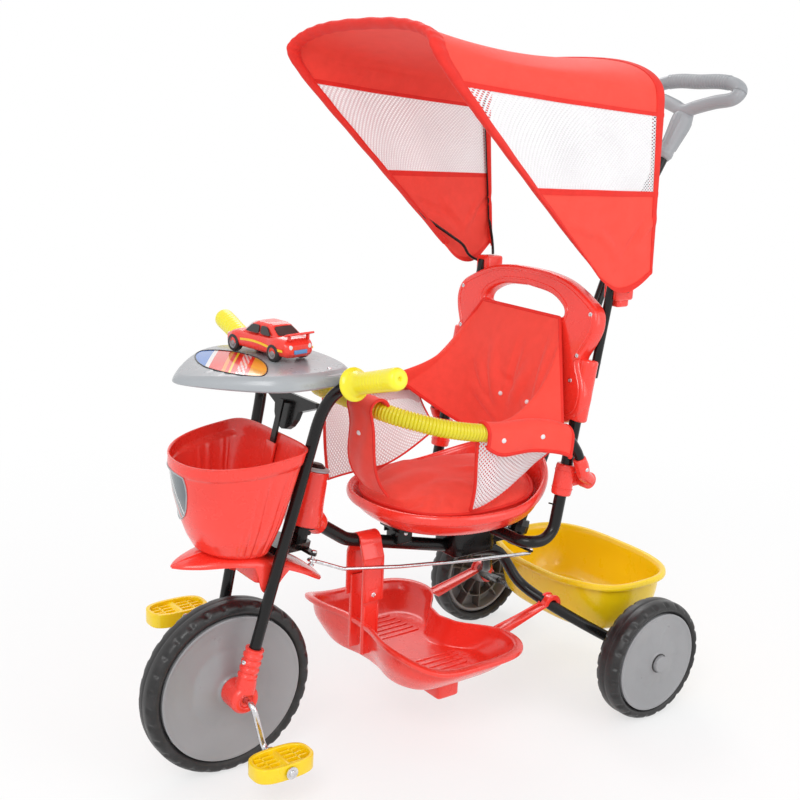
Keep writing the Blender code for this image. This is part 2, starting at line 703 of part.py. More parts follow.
leg_start_x = main_tube_radius + leg_radius + gap
leg_pieces = {}
leg_clear = {}
for side, word in side_names:
    start = main_point(main_rear_y - 0.055, side * leg_start_x)
    knee = main_point(main_rear_y - 0.004, side * (leg_start_x + 0.001))
    drop = Vector((side * 0.040, main_rear_y + 0.025, 0.186))
    out = Vector((side * 0.083, 0.5225, 0.158))
    past = Vector((side * leg_axle_x, wheelbase + 0.012, rear_radius - 0.006))
    leg_line = smooth_route([start, knee, drop, out, (side * 0.135, 0.580, 0.118), past], 3)
    leg = as_mesh(tube("rear_leg_" + word, leg_line, leg_radius, "black_paint", sides=2))
    leg_clear[side] = as_mesh(tube("leg_clear_" + word, leg_line, leg_radius + gap, "steel", cutters,
                                   sides=2))
    drill = rod_cutter("leg_drill_" + word, rear_centre + Vector((side * 0.10, 0, 0)),
                       rear_centre + Vector((side * 0.20, 0, 0)), rear_axle_bore)
    boolean(leg, drill)
    leg_pieces[side] = leg

# Seat bracket, backrest tube and seat shell
bracket_low = main_point(cross_y).z + main_tube_radius + gap
bracket_front = 0.262
bracket_top = seat_bottom_z - gap
seat_bracket = box("seat_bracket", (-0.030, bracket_front, bracket_low - 0.03), (0.030, main_rear_y,
        bracket_top),
                   "black_paint", bevel=0.002)
frame_clear = as_mesh(tube("frame_clear", [main_point(0.20), main_point(main_rear_y + 0.05)],
                           main_tube_radius + gap, "steel", cutters))
boolean(seat_bracket, frame_clear)
under_cut = box("bracket_under_cut", (-0.05, 0.20, 0.15), (0.05, 0.60, main_point(cross_y).z), "steel",
                cutters)
boolean(seat_bracket, under_cut)
rear_cut_top = main_point(cross_y).z + leg_radius + 0.002
rear_cut = box("bracket_rear_cut", (-0.05, cross_y + 0.001, 0.15), (0.05, 0.60, rear_cut_top), "steel",
               cutters)
boolean(seat_bracket, rear_cut)

back_tube_top = back_low_z + 0.040


def back_point(z, x=0.0, ahead=0.0):
    """A point on the leaning line that the backrest tube and seat back share."""
    return Vector((x, backrest_y + (z - backrest_z) * backrest_slope - ahead, z))


u_points = []
for side in (1, -1):
    leg = [back_point(back_tube_top, side * backrest_x), back_point(cross_z, side * backrest_x),
           Vector((side * backrest_x, cross_y, cross_z))]
    u_points += leg if side > 0 else leg[::-1]
backrest_tube = tube("backrest_tube", bent_route(u_points, 0.032, 3), backrest_radius, "black_paint")
u_longer = [back_point(back_tube_top + gap,
                       backrest_x)] + u_points[1:-1] + [back_point(back_tube_top + gap, -backrest_x)]
cross_clear = as_mesh(tube("cross_clear", bent_route(u_longer, 0.032, 3), backrest_radius + gap, "steel",
                           cutters))
boolean(seat_bracket, cross_clear)

count = 30
seat_rings = []
seat_profile = [(0.66, 0.0, 0.0), (0.84, 0.010, 0.10), (0.95, 0.028, 0.5), (1.0, 0.0405, 1.0), (0.985,
        0.0425, 1.02)]


def seat_ring(share, lift, rise, inset):
    ring = []
    for point in oval((0, 0, 0), (seat_half_width - inset) * share, (seat_half_length - inset) * share,
                      2.25, count):
        back = max(0.0, point.y / seat_half_length)
        ring.append(Vector((point.x, seat_center_y + point.y,
                            seat_bottom_z + lift + rise * seat_rise * back ** 2.2)))
    return ring


for share, lift, rise in seat_profile:
    seat_rings.append(seat_ring(share, lift, rise, 0))
for share, lift, rise in ((0.955, 0.0405, 1.0), (0.90, 0.026, 0.4), (0.80, 0.013, 0.08), (0.60, 0.0065,
        0.0)):
    seat_rings.append(seat_ring(share, lift, rise, shell_wall))
seat_base = loft("seat_base", seat_rings, "red_plastic")
boolean(seat_base, cross_clear)

back_outline = [(0.085, back_low_z), (0.122, back_low_z + 0.004), (0.152, 0.482), (0.160, 0.507),
                (0.155, 0.530), (0.142, 0.552), (0.140, 0.566), (0.152, 0.590), (0.158, 0.612), (0.152,
                        0.634),
                (0.128, 0.650), (0.085, 0.668), (0.040, 0.6755), (0, back_top_z)]
hole_outline = [(0.078, 0.612), (0.089, 0.618), (0.082, 0.631), (0.052, 0.6445), (0, 0.6495)]
lean = math.atan(backrest_slope)
tilt = math.cos(lean)


def back_outline_loop(points):
    """The outline in the leaning plane, its heights measured along that plane from the tube's bend."""
    smooth = smooth_route([(x, (z - backrest_z) / tilt, 0) for x, z in points], 2)
    return mirrored([(p.x, p.y) for p in smooth])


back_up = Vector((0, math.sin(lean), math.cos(lean)))
back_front = Vector((0, -math.cos(lean), math.sin(lean)))
back_turn = Matrix((Vector((1, 0, 0)), back_up, back_front)).transposed().to_4x4()
back_place = Matrix.Translation((0, backrest_y, backrest_z)) @ back_turn
seat_back = plate("seat_back", back_outline_loop(back_outline), back_thickness + 0.004, back_place,
                  "red_plastic",
                  holes=[back_outline_loop(hole_outline)])
round_edges(seat_back, 0.004, 1)
boolean(seat_back, cross_clear)

# Canopy posts, blocks, bows and cover
post_out = back_thickness / 2 + 0.002 + post_radius + gap
post_pieces = {}
half = Vector(block_size) / 2
for side, word in side_names:
    low = back_point(0.540, side * backrest_x) - back_front * post_out
    high = back_point(block_z + half.z - 0.004, side * backrest_x) - back_front * post_out
    post = tube("canopy_post_" + word, [low, high], post_radius, "black_paint")
    block_mid = Vector((side * backrest_x, block_y, block_z))
    block = box("canopy_block_" + word, block_mid - half, block_mid + half, "red_plastic", bevel=0.004)
    hole = rod_cutter("post_hole_" + word, low, high + (high - low).normalized() * gap, post_radius + gap,
                      12)
    boolean(block, hole)
    post_pieces[side] = (post, block)
pivot = Vector((0, block_y, block_z))


def canopy_point(s, v):
    """The cover's outer line: s from -1 (right foot) over the crown to 1, v from the front hoop to the rear."""
    corner = 0.56
    foot = Vector((canopy_foot_half + 0.010 * v, 0.487 + 0.094 * v,
                   0.687 + 0.003 * v - 0.026 * math.sin(math.pi * v)))
    shoulder = Vector((canopy_half - 0.014 * (1 - v), 0.174 + 0.394 * v, 0.970 - 0.044 * v))
    crown = Vector((0, 0.192 + 0.384 * v, 0.986 + 0.029 * (1 - v) ** 3))
    turn = abs(s)
    if turn > corner:
        spot = shoulder.lerp(foot, (turn - corner) / (1 - corner))
    else:
        t = turn / corner * math.pi / 2
        spot = shoulder.lerp(crown, math.cos(t) ** 0.9)
        spot.x = shoulder.x * math.sin(t) ** 0.7
    spot.x = math.copysign(spot.x, s)
    return spot


def canopy_surface(u, v):
    return canopy_point(-1 + 2 * u, v)


def bow_route(v, foot):
    """A hoop wire just inside the cover near its edge, led down to the block's face at each side."""
    count = 24
    inset = canopy_wall / 2 + bow_radius + 0.0012
    hoop = []
    for i in range(count + 1):
        u = i / count
        across = canopy_surface(min(u + 0.5 / count, 1), v) - canopy_surface(max(u - 0.5 / count, 0), v)
        along = canopy_surface(u, v + 0.02) - canopy_surface(u, v - 0.02)
        out = across.cross(along).normalized()
        out = out if out.dot(Vector((canopy_surface(u, v).x, 0, 0.05))) > 0 else -out
        hoop.append(canopy_surface(u, v) - out * inset)
    right = [Vector((-foot.x, foot.y, foot.z))]
    left = [foot]
    return right + hoop + left


front_foot = Vector((backrest_x + half.x + gap + bow_radius, block_y, block_z))
rear_foot = Vector((backrest_x, block_y + 0.006, block_z + half.z + gap + bow_radius))
front_bow = tube("canopy_front_bow", bow_route(0.03, front_foot), bow_radius, "black_paint", sides=1)
rear_bow = tube("canopy_rear_bow", bow_route(0.97, rear_foot), bow_radius, "black_paint", sides=1)
canopy = sheet("canopy_cover", canopy_surface, 24, 6, canopy_wall, "red_fabric")

# Guard ring, its corrugated sleeve and its clamps
clamp_z = 0.390
clamp_y = back_point(clamp_z).y
ring_side = [(ring_rear_x, clamp_y + 0.010, 0.412), (ring_rear_x, clamp_y - 0.004, 0.440),
             (0.168, clamp_y - 0.030, 0.466), (0.158, 0.395, 0.477), (ring_half, 0.330, 0.479), (0.141,
                     0.262, 0.489),
             (0.106, 0.207, 0.503), (0.055, 0.181, 0.512)]
ring_all = ring_side + [(0, 0.175, 0.515)] + [(-x, y, z) for x, y, z in reversed(ring_side)]
samples_per_span = 2
ring_route = smooth_route(ring_all, samples_per_span)
guard_ring = tube("guard_ring", ring_route, ring_tube_radius, "black_paint", sides=2)


def resample(route, count):
    lengths = [0.0]
    for a, b in zip(route, route[1:]):
        lengths.append(lengths[-1] + (b - a).length)
    made = []
    i = 0
    for k in range(count):
        want = lengths[-1] * k / (count - 1)
        while i < len(route) - 2 and lengths[i + 1] < want:
            i += 1
        t = (want - lengths[i]) / (lengths[i + 1] - lengths[i])
        made.append(route[i].lerp(route[i + 1], t))
    return made


sleeve_part = ring_route[3 * samples_per_span:-3 * samples_per_span]
sleeve_points = resample(sleeve_part, 2 * sleeve_ribs + 1)
sleeve_radii = [1.0 - (sleeve_groove / sleeve_radius) * (k % 2) for k in range(len(sleeve_points))]
guard_sleeve = as_mesh(tube("guard_sleeve", sleeve_points, sleeve_radius, "lemon_plastic", sides=2,
                            radii=sleeve_radii))
bore_part = ring_route[3 * samples_per_span - 2:-3 * samples_per_span + 2]
sleeve_bore = as_mesh(tube("sleeve_bore", bore_part, ring_tube_radius + 2 * gap, "steel", cutters, sides=2))
boolean(guard_sleeve, sleeve_bore)
sleeve_points_gap = min((sleeve_points[i] - sleeve_points[j]).length for i in range(0, len(sleeve_points), 4)
                        for j in range(i + 24, len(sleeve_points), 4)) - 2 * sleeve_radius
print("least gap of the sleeve to itself %.4f m" % sleeve_points_gap)

ring_parts = []
for side, word in side_names:
    flip = Vector((side, 1, 1))
    clamp_way = (back_point(1.0) - back_point(0.0)).normalized()
    low = back_point(clamp_z - 0.024, side * backrest_x)
    clamp = turned("ring_clamp_" + word, [
        (backrest_radius + gap, 0), (0.0135, 0), (0.0145, 0.003), (0.0145, 0.043), (0.0135, 0.046),
        (backrest_radius + gap, 0.046)], low, clamp_way, "red_plastic", steps=12, ring=True)
    boss_y = back_point(clamp_z).y + 0.034
    lug_low = Vector((backrest_x - 0.0045, clamp_y + 0.006, clamp_z - 0.014))
    lug_high = Vector((backrest_x + 0.0045, boss_y + 0.010, clamp_z + 0.010))
    lug = box("clamp_lug_" + word, [min(a, b) for a, b in zip(lug_low * flip, lug_high * flip)],
              [max(a, b) for a, b in zip(lug_low * flip, lug_high * flip)], "red_plastic", cutters, 0.002)
    boolean(clamp, lug, "UNION")
    tube_clear = rod_cutter("clamp_clear_" + word, back_point(clamp_z - 0.06, side * backrest_x),
                            back_point(clamp_z + 0.06, side * backrest_x), backrest_radius + gap, 18)
    boolean(clamp, tube_clear)
    boss = turned("ring_socket_" + word, [(0, 0), (0.0125, 0), (0.0125, 0.014), (0.0105, 0.0165),
                                          (0, 0.0165)],
                  Vector((backrest_x + 0.0045 + gap, boss_y, clamp_z - 0.004)) * flip, (side, 0,
                          0), "red_plastic",
                  steps=16)
    arm_low = Vector((backrest_x + 0.0150 + gap, clamp_y - 0.001, clamp_z - 0.010))
    arm_high = Vector((ring_rear_x + 0.0095, boss_y - 0.008, clamp_z + 0.032))
    socket_arm = box("socket_arm_" + word, [min(a, b) for a, b in zip(arm_low * flip, arm_high * flip)],
                     [max(a, b) for a, b in zip(arm_low * flip,
                                                arm_high * flip)], "red_plastic", cutters, 0.003)
    boolean(boss, socket_arm, "UNION")
    ring_start = ring_route[:5] if side > 0 else ring_route[:-6:-1]
    ring_start = [ring_start[0] - (ring_start[1] - ring_start[0]).normalized() * gap] + ring_start[1:]
    ring_end = as_mesh(tube("ring_end_hole_" + word, ring_start, ring_tube_radius + gap, "steel", cutters,
                            sides=2))
    boolean(boss, ring_end)
    ring_parts += [clamp, boss]

# Seat cloths
cushion_low = seat_bottom_z + 0.0065 + gap
cushion_rings = []
for share, lift in ((0.60, 0.0), (0.76, 0.0065), (0.845, 0.017), (0.88, 0.031), (0.86, 0.043), (0.70, 0.052),
                    (0.42, 0.057)):
    ring = []
    for i, point in enumerate(oval((0, 0, 0), (seat_half_width - shell_wall) * share * 0.96,
                                   (seat_half_length - shell_wall) * share * 0.96, 2.3, count)):
        drawn = 1.0 - 0.018 * math.cos(4 * math.tau * i / count)
        back = max(0.0, point.y / seat_half_length)
        lift_back = 0.020 * back ** 2
        ring.append(Vector((point.x * drawn, seat_center_y - 0.002 + point.y * drawn,
                            cushion_low + lift + lift_back)))
    cushion_rings.append(ring)
cushion = loft("seat_cushion", cushion_rings, "red_fabric")

cloth = 0.004
cloth_ahead = back_thickness / 2 + 0.002 + cloth / 2 + gap


def ring_line(y):
    """The guard ring's centre at this distance back, along its left side."""
    side = [p for p in ring_route if p.x > 0.05 and p.z > 0.46]
    for rear, front in zip(side, side[1:]):
        if front.y <= y <= rear.y:
            return rear.lerp(front, (rear.y - y) / (rear.y - front.y))
    return side[0] if y > side[0].y else side[-1]


def back_cloth(u, v):
    """The back cloth: a panel hung in front of the seat back, its sides drawn forward and folded over the ring."""
    w = abs(2 * u - 1)
    side = math.copysign(1.0, 2 * u - 1)
    a = min(w / 0.46, 1.0)
    spot = back_point(0.618 - 0.205 * v, (0.086 + 0.050 * v ** 0.8) * a, cloth_ahead)
    spot.y -= (0.020 + 0.062 * v) * v * a ** 3 + 0.016 * math.sin(math.pi * v) * (1 - a * a)
    spot.y -= 0.003 * abs(math.sin(a * 2.5 * math.pi)) * math.sin(math.pi * v)
    spot.z += 0.068 * v ** 2 * a ** 3
    if w > 0.46:
        centre = ring_line(0.440 - 0.088 * v)
        reach = sleeve_radius + cloth + 0.0006
        angle = math.radians(125 * (1 - min(max((w - 0.62) / 0.30, 0), 1)))
        rim = centre + Vector((math.cos(angle), 0, math.sin(angle))) * reach
        rim.z -= 0.022 * max(0.0, w - 0.92) / 0.08
        spot = spot.lerp(rim, min((w - 0.46) / 0.16, 1))
    spot.x *= side
    return spot


seat_back_cloth = sheet("seat_cover_back", back_cloth, 26, 5, cloth, "red_fabric")


def side_mesh(side):
    def surface(u, v):
        """The net side: top edge just under the ring, bottom edge just above the seat's rim."""
        y = 0.212 + (0.432 - 0.212) * u
        bow = abs((y - 0.36) / 0.19)
        top = ring_line(y)
        low_x = (seat_half_width - 0.018) * (1 - bow ** 2.6 * 0.35)
        top_z = top.z - sleeve_radius - 0.0006
        low_z = seat_rim_z + 0.014 + 0.030 * max(0.0, (y - 0.33) / 0.10) ** 1.5
        x = low_x + (top.x - low_x) * v ** 0.8
        z = low_z + (top_z - low_z) * v
        return Vector((side * x, y, z))
    return surface


mesh_left = sheet("seat_mesh_left", side_mesh(1), 8, 4, 0.0022, "white_mesh")
mesh_right = sheet("seat_mesh_right", side_mesh(-1), 8, 4, 0.0022, "white_mesh")

strap_half = 0.019


def strap_surface(u, v):
    """The crotch strap: from the ring's underside down and back to the cushion's front."""
    x = -strap_half + 2 * strap_half * u
    z = 0.515 - sleeve_radius - 0.0004 - v * 0.130
    y = 0.175 + 0.004 * math.sin(v * math.pi) + 0.048 * v ** 2.4
    return Vector((x, y, z))


strap = sheet("crotch_strap", strap_surface, 2, 8, 0.003, "red_fabric")

# Rear basket and foot tray
rear_basket_y = 0.664
rear_levels = [((0, rear_basket_y - 0.006, rear_radius + axle_radius + 0.0001), 0.108, 0.066),
               ((0, rear_basket_y - 0.003, rear_radius + 0.014), 0.126, 0.084),
               ((0, rear_basket_y, rear_radius + 0.084), rear_basket_half - 0.006, 0.098),
               ((0, rear_basket_y, rear_radius + 0.094), rear_basket_half, 0.103)]
rear_basket = basket("rear_basket", rear_levels, shell_wall, shell_wall, "yellow_plastic", 2.9)

tray_mid_y = 0.311
tray_half_y = 0.114
tray_floor_z = 0.098
tray_rim_z = 0.140


def tray_ring(share, z, inset=0.0, toe=0.0):
    """Two lobes side by side: an oval whose front and rear are notched at the middle."""
    ring = []
    for i in range(24):
        angle = math.tau * i / 24
        c, s = math.cos(angle), math.sin(angle)
        notch = 1 - 0.15 * math.exp(-(c / 0.30) ** 2)
        x = (tray_half - inset) * share * math.copysign(abs(c) ** 0.46, c)
        y = (tray_half_y - inset) * share * math.copysign(abs(s) ** 0.46, s) * notch
        up = toe * max(0.0, -s) ** 1.3
        ring.append(Vector((x, tray_mid_y + y, z + up)))
    return ring


tray_rings = [tray_ring(0.62, tray_floor_z), tray_ring(0.74, tray_floor_z + 0.004), tray_ring(0.90, 0.124,
        toe=0.012),
              tray_ring(0.925, tray_rim_z - 0.006, toe=0.028), tray_ring(0.995, tray_rim_z - 0.005,
                      toe=0.028),
              tray_ring(1.0, tray_rim_z, toe=0.028), tray_ring(0.93, tray_rim_z + 0.002, toe=0.028),
              tray_ring(0.875, 0.128, toe=0.012), tray_ring(0.715, tray_floor_z + 0.008),
              tray_ring(0.60, tray_floor_z + 0.004)]
tray = loft("foot_tray", tray_rings, "red_plastic")
strap_y = 0.226
strap_wide = 0.036
hook_x = 0.083
for side, word in side_names:
    block = box("tray_foot_" + word, (side * 0.062 - 0.022, 0.300, tray_floor_z - 0.016),
                (side * 0.062 + 0.022, 0.345, tray_floor_z + 0.002), "red_plastic", cutters, 0.003)
    boolean(tray, block, "UNION")
    post_x = side * (main_tube_radius + 0.0022)
    post = box("tray_post_" + word, (min(post_x, post_x + side * 0.006), strap_y - 0.014,
                                     tray_floor_z + 0.002),
               (max(post_x, post_x + side * 0.006), strap_y + 0.014, 0.238), "red_plastic", cutters, 0.001)
    boolean(tray, post, "UNION")

leg_at_hook = Vector((hook_x, 0.5225, 0.158))
for side, word in side_names:
    flip = Vector((side, 1, 1))
    hook_inner = leg_radius + gap
    hook_outer = hook_inner + 0.006
    arc = []
    for k in range(9):
        angle = math.radians(-28 + 200 * k / 8)
        arc.append((math.cos(angle), math.sin(angle)))
    top = [(leg_at_hook.y + hook_outer * c, leg_at_hook.z + hook_outer * s) for c, s in arc]
    under = [(leg_at_hook.y + hook_inner * c, leg_at_hook.z + hook_inner * s) for c, s in arc[::-1]]
    arm_end = (tray_mid_y + tray_half_y * 0.80, tray_rim_z - 0.012)
    outline = top + [(arm_end[0] - 0.007, arm_end[1] + 0.004), (arm_end[0] + 0.003,
                                                                arm_end[1] - 0.004)] + under
    stand = Matrix((Vector((0, 1, 0)), Vector((0, 0, 1)), Vector((1, 0, 0)))).transposed().to_4x4()
    hook = plate("tray_hook_" + word, outline, 0.018, Matrix.Translation((side * hook_x, 0, 0)) @ stand,
                 "red_plastic", collection=cutters)
    boolean(tray, hook, "UNION")
    boolean(tray, leg_clear[side])

tray_straps = []
for side, word in side_names:
    saddle = main_tube_radius + gap
    inside = main_tube_radius + 0.0085 + gap
    tube_z = main_point(strap_y).z
    half_outline = [(0.0, tube_z + saddle + 0.0045)]
    half_outline += [((saddle + 0.0045) * math.sin(a), tube_z + (saddle + 0.0045) * math.cos(a))
                     for a in (math.radians(30), math.radians(60))]
    half_outline += [(saddle + 0.0048, tube_z), (inside + 0.0042, tube_z - 0.020), (inside + 0.0042, 0.205),
                     (inside, 0.205), (inside, tube_z - 0.022), (saddle + 0.0003, tube_z - 0.002)]
    half_outline += [(saddle * math.sin(a), tube_z + saddle * math.cos(a))
                     for a in (math.radians(60), math.radians(30))]
    half_outline += [(0.0, tube_z + saddle)]
    half_outline = [(x + 0.00015, z) for x, z in half_outline]
    stand = Matrix((Vector((side, 0, 0)), Vector((0, 0, 1)), Vector((0, -side, 0)))).transposed().to_4x4()
    piece = plate("tray_strap_" + word, half_outline, strap_wide,
                  Matrix.Translation((0, strap_y, 0)) @ stand,
                  "red_plastic")
    line_clear = as_mesh(tube("strap_clear_" + word, [main_point(0.19), main_point(0.27)],
                              main_tube_radius + gap, "steel", cutters))
    boolean(piece, line_clear)
    tray_straps.append(piece)

# Push pole, its hub, lever and steering rod
pole_up = Vector((0, pole_slope, 1)).normalized()
pole_foot = Vector((0, pole_y, pole_z))


def pole_point(z, out=0.0):
    return pole_foot + Vector((0, pole_slope, 1)) * (z - pole_z)


neck_low = Vector((0, 0.783, 0.843))
neck_top = Vector((0, 0.824, 0.905))
pole_end = neck_low + (neck_top - neck_low) * 0.5
pole_route = bent_route([pole_point(pole_z + 0.001), pole_point(pole_bend_z), pole_end], 0.090, 5)
push_pole = as_mesh(tube("push_pole", pole_route, pole_radius, "black_paint"))
hub_length = 0.034
hub_start = 0.010
hub = turned("pole_hub", [
    (pole_radius + gap, hub_start), (0.0125, hub_start), (0.0125, hub_start + 0.010), (0.0165,
            hub_start + 0.014),
    (0.0165, hub_start + 0.024), (0.0145, hub_start + hub_length),
    (pole_radius + gap, hub_start + hub_length)], pole_foot, pole_up, "black_paint", steps=12, ring=True)
web_low = 0.2475
web_high = rear_cut_top - gap
hub_web = box("hub_web", (-0.010, main_rear_y - 0.030, web_low), (0.010, pole_y + 0.002, web_high),
              "black_paint",
              cutters)
boolean(hub_web, frame_clear)
boolean(hub, hub_web, "UNION")
hub_clear = rod_cutter("hub_clear", pole_foot - pole_up * 0.02, pole_foot + pole_up * 0.12,
                       pole_radius + gap, 12)
boolean(hub, hub_clear)
pole_turn = Matrix((Vector((1, 0, 0)), Vector((0, math.cos(math.atan(pole_slope)),
                                               -math.sin(math.atan(pole_slope)))),
                    pole_up)).transposed().to_4x4()
pole_lever = plate("pole_lever", [(0, -0.010), (lever_x, -0.006), (lever_x + 0.006, 0), (lever_x, 0.006),
                                  (0, 0.010),
                                  (-0.010, 0.006), (-0.010, -0.006)],
                   0.004, Matrix.Translation(pole_foot + pole_up * 0.0030) @ pole_turn, "black_paint", collection=cutters)
boolean(push_pole, pole_lever, "UNION")
fork_pin = on_fork(lever_x, -steer_offset, stem_low + 0.002)
rod_radius = 0.0022
rod_front = fork_pin - steer_up * (0.002 + rod_radius + 0.0045)
pole_pin = Matrix.Translation(pole_foot + pole_up * 0.0030) @ pole_turn @ Vector((lever_x, 0, 0))
rod_rear = pole_pin - pole_up * (0.002 + rod_radius + gap)
rod_route = bent_route([rod_front, rod_front + Vector((0.003, 0.050, -0.022)),
                        (lever_x + 0.004, 0.255, 0.262), (lever_x + 0.002, 0.400,
                                                          0.243), rod_rear], 0.030, 4)
steering_rod = tube("steering_rod", rod_route, rod_radius, "steel", sides=1)

handle_up = (neck_top - neck_low).normalized()
bar_mid = Vector((0, 0.853, 0.9625))
neck = as_mesh(tube("push_handle", smooth_route([neck_low, neck_low.lerp(neck_top, 0.5),
                                                 neck_top + Vector((0, 0.002, 0.006))], 4),
                    0.0165, "grey_plastic", radii=[0.74, 0.78, 0.82, 0.88, 0.94, 1.0, 1.03, 1.0, 0.90]))
loop_half = [(0, 0), (handle_half * 0.45, 0.001), (handle_half * 0.80, -0.004), (handle_half, -0.016),
             (handle_half * 0.92, -0.031), (handle_half * 0.58, -0.038), (handle_half * 0.24, -0.048), (0,
                     -0.056)]
loop_points = [bar_mid + Vector((x, 0, 0)) + handle_up * d for x, d in loop_half]
loop_points += [Vector((-p.x, p.y, p.z)) for p in loop_points[-2:0:-1]]
handle_loop = as_mesh(tube("handle_loop", smooth_route(loop_points, 2, closed=True), handle_radius * 0.86,
                           "grey_plastic", cutters, closed=True, sides=2))
boolean(neck, handle_loop, "UNION")
pole_past = pole_route[:-1] + [pole_end + handle_up * gap]
boolean(neck, as_mesh(tube("pole_socket", pole_past, pole_radius + gap, "steel", cutters)))

# Joint axes
frame_empty = axis_empty("frame_origin", (0, 0, 0))
steer_empty = axis_empty("steer_axis", on_fork(0, -steer_offset, head_tube_low), frame_empty)
wheel_empty = axis_empty("front_axle", wheel_centre, steer_empty)
carry(steer_empty, *fork_pieces)
carry(wheel_empty, front_tyre, front_disc, crank)
for side, word in side_names:
    pedal_empty = axis_empty("pedal_axis_" + word, wheel_centre + arm * side + Vector((side * pedal_half,
            0, 0)),
                             wheel_empty)
    carry(pedal_empty, pedals[side])
    rear_empty = axis_empty("rear_axle_" + word, rear_centre + Vector((side * track / 2, 0, 0)), frame_empty)
    carry(rear_empty, *rear_wheels[side])
pole_empty = axis_empty("pole_axis", pole_foot, frame_empty)
carry(pole_empty, push_pole, neck)
rod_empty = axis_empty("rod_axis", pole_pin, pole_empty)
carry(rod_empty, steering_rod)
canopy_empty = axis_empty("canopy_axis", pivot, frame_empty)
carry(canopy_empty, front_bow)
carry(frame_empty, *[o for o in trike.objects if o.parent is None and o is not frame_empty])
carry(frame_empty, *cutters.objects)

# The origin goes under the middle of the whole machine
bpy.context.view_layer.update()
graph = bpy.context.evaluated_depsgraph_get()
corners = []
for piece in trike.objects:
    if piece.type == "EMPTY":
        continue
    ready = piece.evaluated_get(graph)
    mesh = ready.to_mesh()
    spots = np.empty(len(mesh.vertices) * 3, dtype=np.float32)
    mesh.vertices.foreach_get("co", spots)
    turn = np.array(piece.matrix_world)
    corners.append(spots.reshape(-1, 3) @ turn[:3, :3].T + turn[:3, 3])
    ready.to_mesh_clear()
corners = np.vstack(corners)
low, high = corners.min(axis=0), corners.max(axis=0)
shift = Vector((-(low[0] + high[0]) / 2, -(low[1] + high[1]) / 2, -low[2]))
frame_empty.location = shift
bpy.context.view_layer.update()
print("shift %.6f %.6f %.6f" % tuple(shift), "size", [round(float(v), 4) for v in high - low])
for empty in [o for o in trike.objects if o.type == "EMPTY"]:
    print(empty.name, [round(v, 6) for v in empty.matrix_world.translation])
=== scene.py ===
import bpy
import bmesh
import json
import math
import numpy as np
from mathutils import Matrix

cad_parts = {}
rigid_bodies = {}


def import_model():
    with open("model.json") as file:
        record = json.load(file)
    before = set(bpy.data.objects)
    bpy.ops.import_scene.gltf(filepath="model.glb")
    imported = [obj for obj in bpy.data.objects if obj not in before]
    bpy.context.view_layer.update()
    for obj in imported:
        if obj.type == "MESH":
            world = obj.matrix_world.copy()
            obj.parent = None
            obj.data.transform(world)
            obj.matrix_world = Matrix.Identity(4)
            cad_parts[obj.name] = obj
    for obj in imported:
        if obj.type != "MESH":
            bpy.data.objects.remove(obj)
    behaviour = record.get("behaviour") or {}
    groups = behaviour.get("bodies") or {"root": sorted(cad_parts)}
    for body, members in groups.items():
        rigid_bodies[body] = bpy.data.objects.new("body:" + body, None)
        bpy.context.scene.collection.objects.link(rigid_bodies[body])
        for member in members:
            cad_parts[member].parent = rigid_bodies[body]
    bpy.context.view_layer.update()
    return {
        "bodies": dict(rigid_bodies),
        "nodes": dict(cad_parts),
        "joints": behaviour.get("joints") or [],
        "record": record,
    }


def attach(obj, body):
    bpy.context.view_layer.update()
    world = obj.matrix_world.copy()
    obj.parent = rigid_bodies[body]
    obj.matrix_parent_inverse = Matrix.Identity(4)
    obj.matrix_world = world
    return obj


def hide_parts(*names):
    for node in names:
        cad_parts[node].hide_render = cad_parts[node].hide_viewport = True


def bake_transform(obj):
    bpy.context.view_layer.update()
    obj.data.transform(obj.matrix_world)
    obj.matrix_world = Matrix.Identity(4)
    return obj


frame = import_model()
nodes = frame["nodes"]
toFrame = np.array([0.0, -0.369649, 0.0])  # lengths below are taken from the ground point of the front wheel
tau = 2 * math.pi
sides = ((1, "left"), (-1, "right"))


def vec(x, y, z):
    # three lengths as one point
    return np.array([x, y, z], float)


def unit(a):
    # the same direction at length 1: a / |a|
    a = np.asarray(a, float)
    return a / np.maximum(np.linalg.norm(a, axis=-1, keepdims=True), 1e-12)


def ease(t):  # 0 to 1 with level ends: 3t^2 - 2t^3
    t = np.clip(t, 0, 1)
    return t * t * (3 - 2 * t)


def bump(t):  # a round hill from -1 to 1: (1 - t^2)^2 inside, 0 outside
    return np.clip(1 - np.asarray(t) ** 2, 0, None) ** 2


def curve(c, power):  # a power that keeps the sign: sign(c) |c|^p
    return np.sign(c) * np.abs(c) ** power


def angles(count):  # equal steps round one full turn
    return tau * np.arange(count) / count


# Lines and outlines

def smoothLine(points, samples=8, closed=False):
    # a smooth curve through every point: between b and c it is
    # 0.5 (2b + (c-a)t + (2a-5b+4c-d)t^2 + (3b-a-3c+d)t^3)
    p = np.asarray(points, float)
    if closed:
        a, b, c, d = np.roll(p, 1, 0), p, np.roll(p, -1, 0), np.roll(p, -2, 0)
    else:
        e = np.vstack([2 * p[0] - p[1], p, 2 * p[-1] - p[-2]])
        a, b, c, d = e[:-3], e[1:-2], e[2:-1], e[3:]
    a, b, c, d = (q[:, None, :] for q in (a, b, c, d))
    t = (np.arange(samples) / samples)[None, :, None]
    s = 0.5 * (2 * b + (c - a) * t + (2 * a - 5 * b + 4 * c - d) * t ** 2 + (3 * b - a - 3 * c + d) * t ** 3)
    s = s.reshape(-1, p.shape[1])
    return s if closed else np.vstack([s, p[-1]])


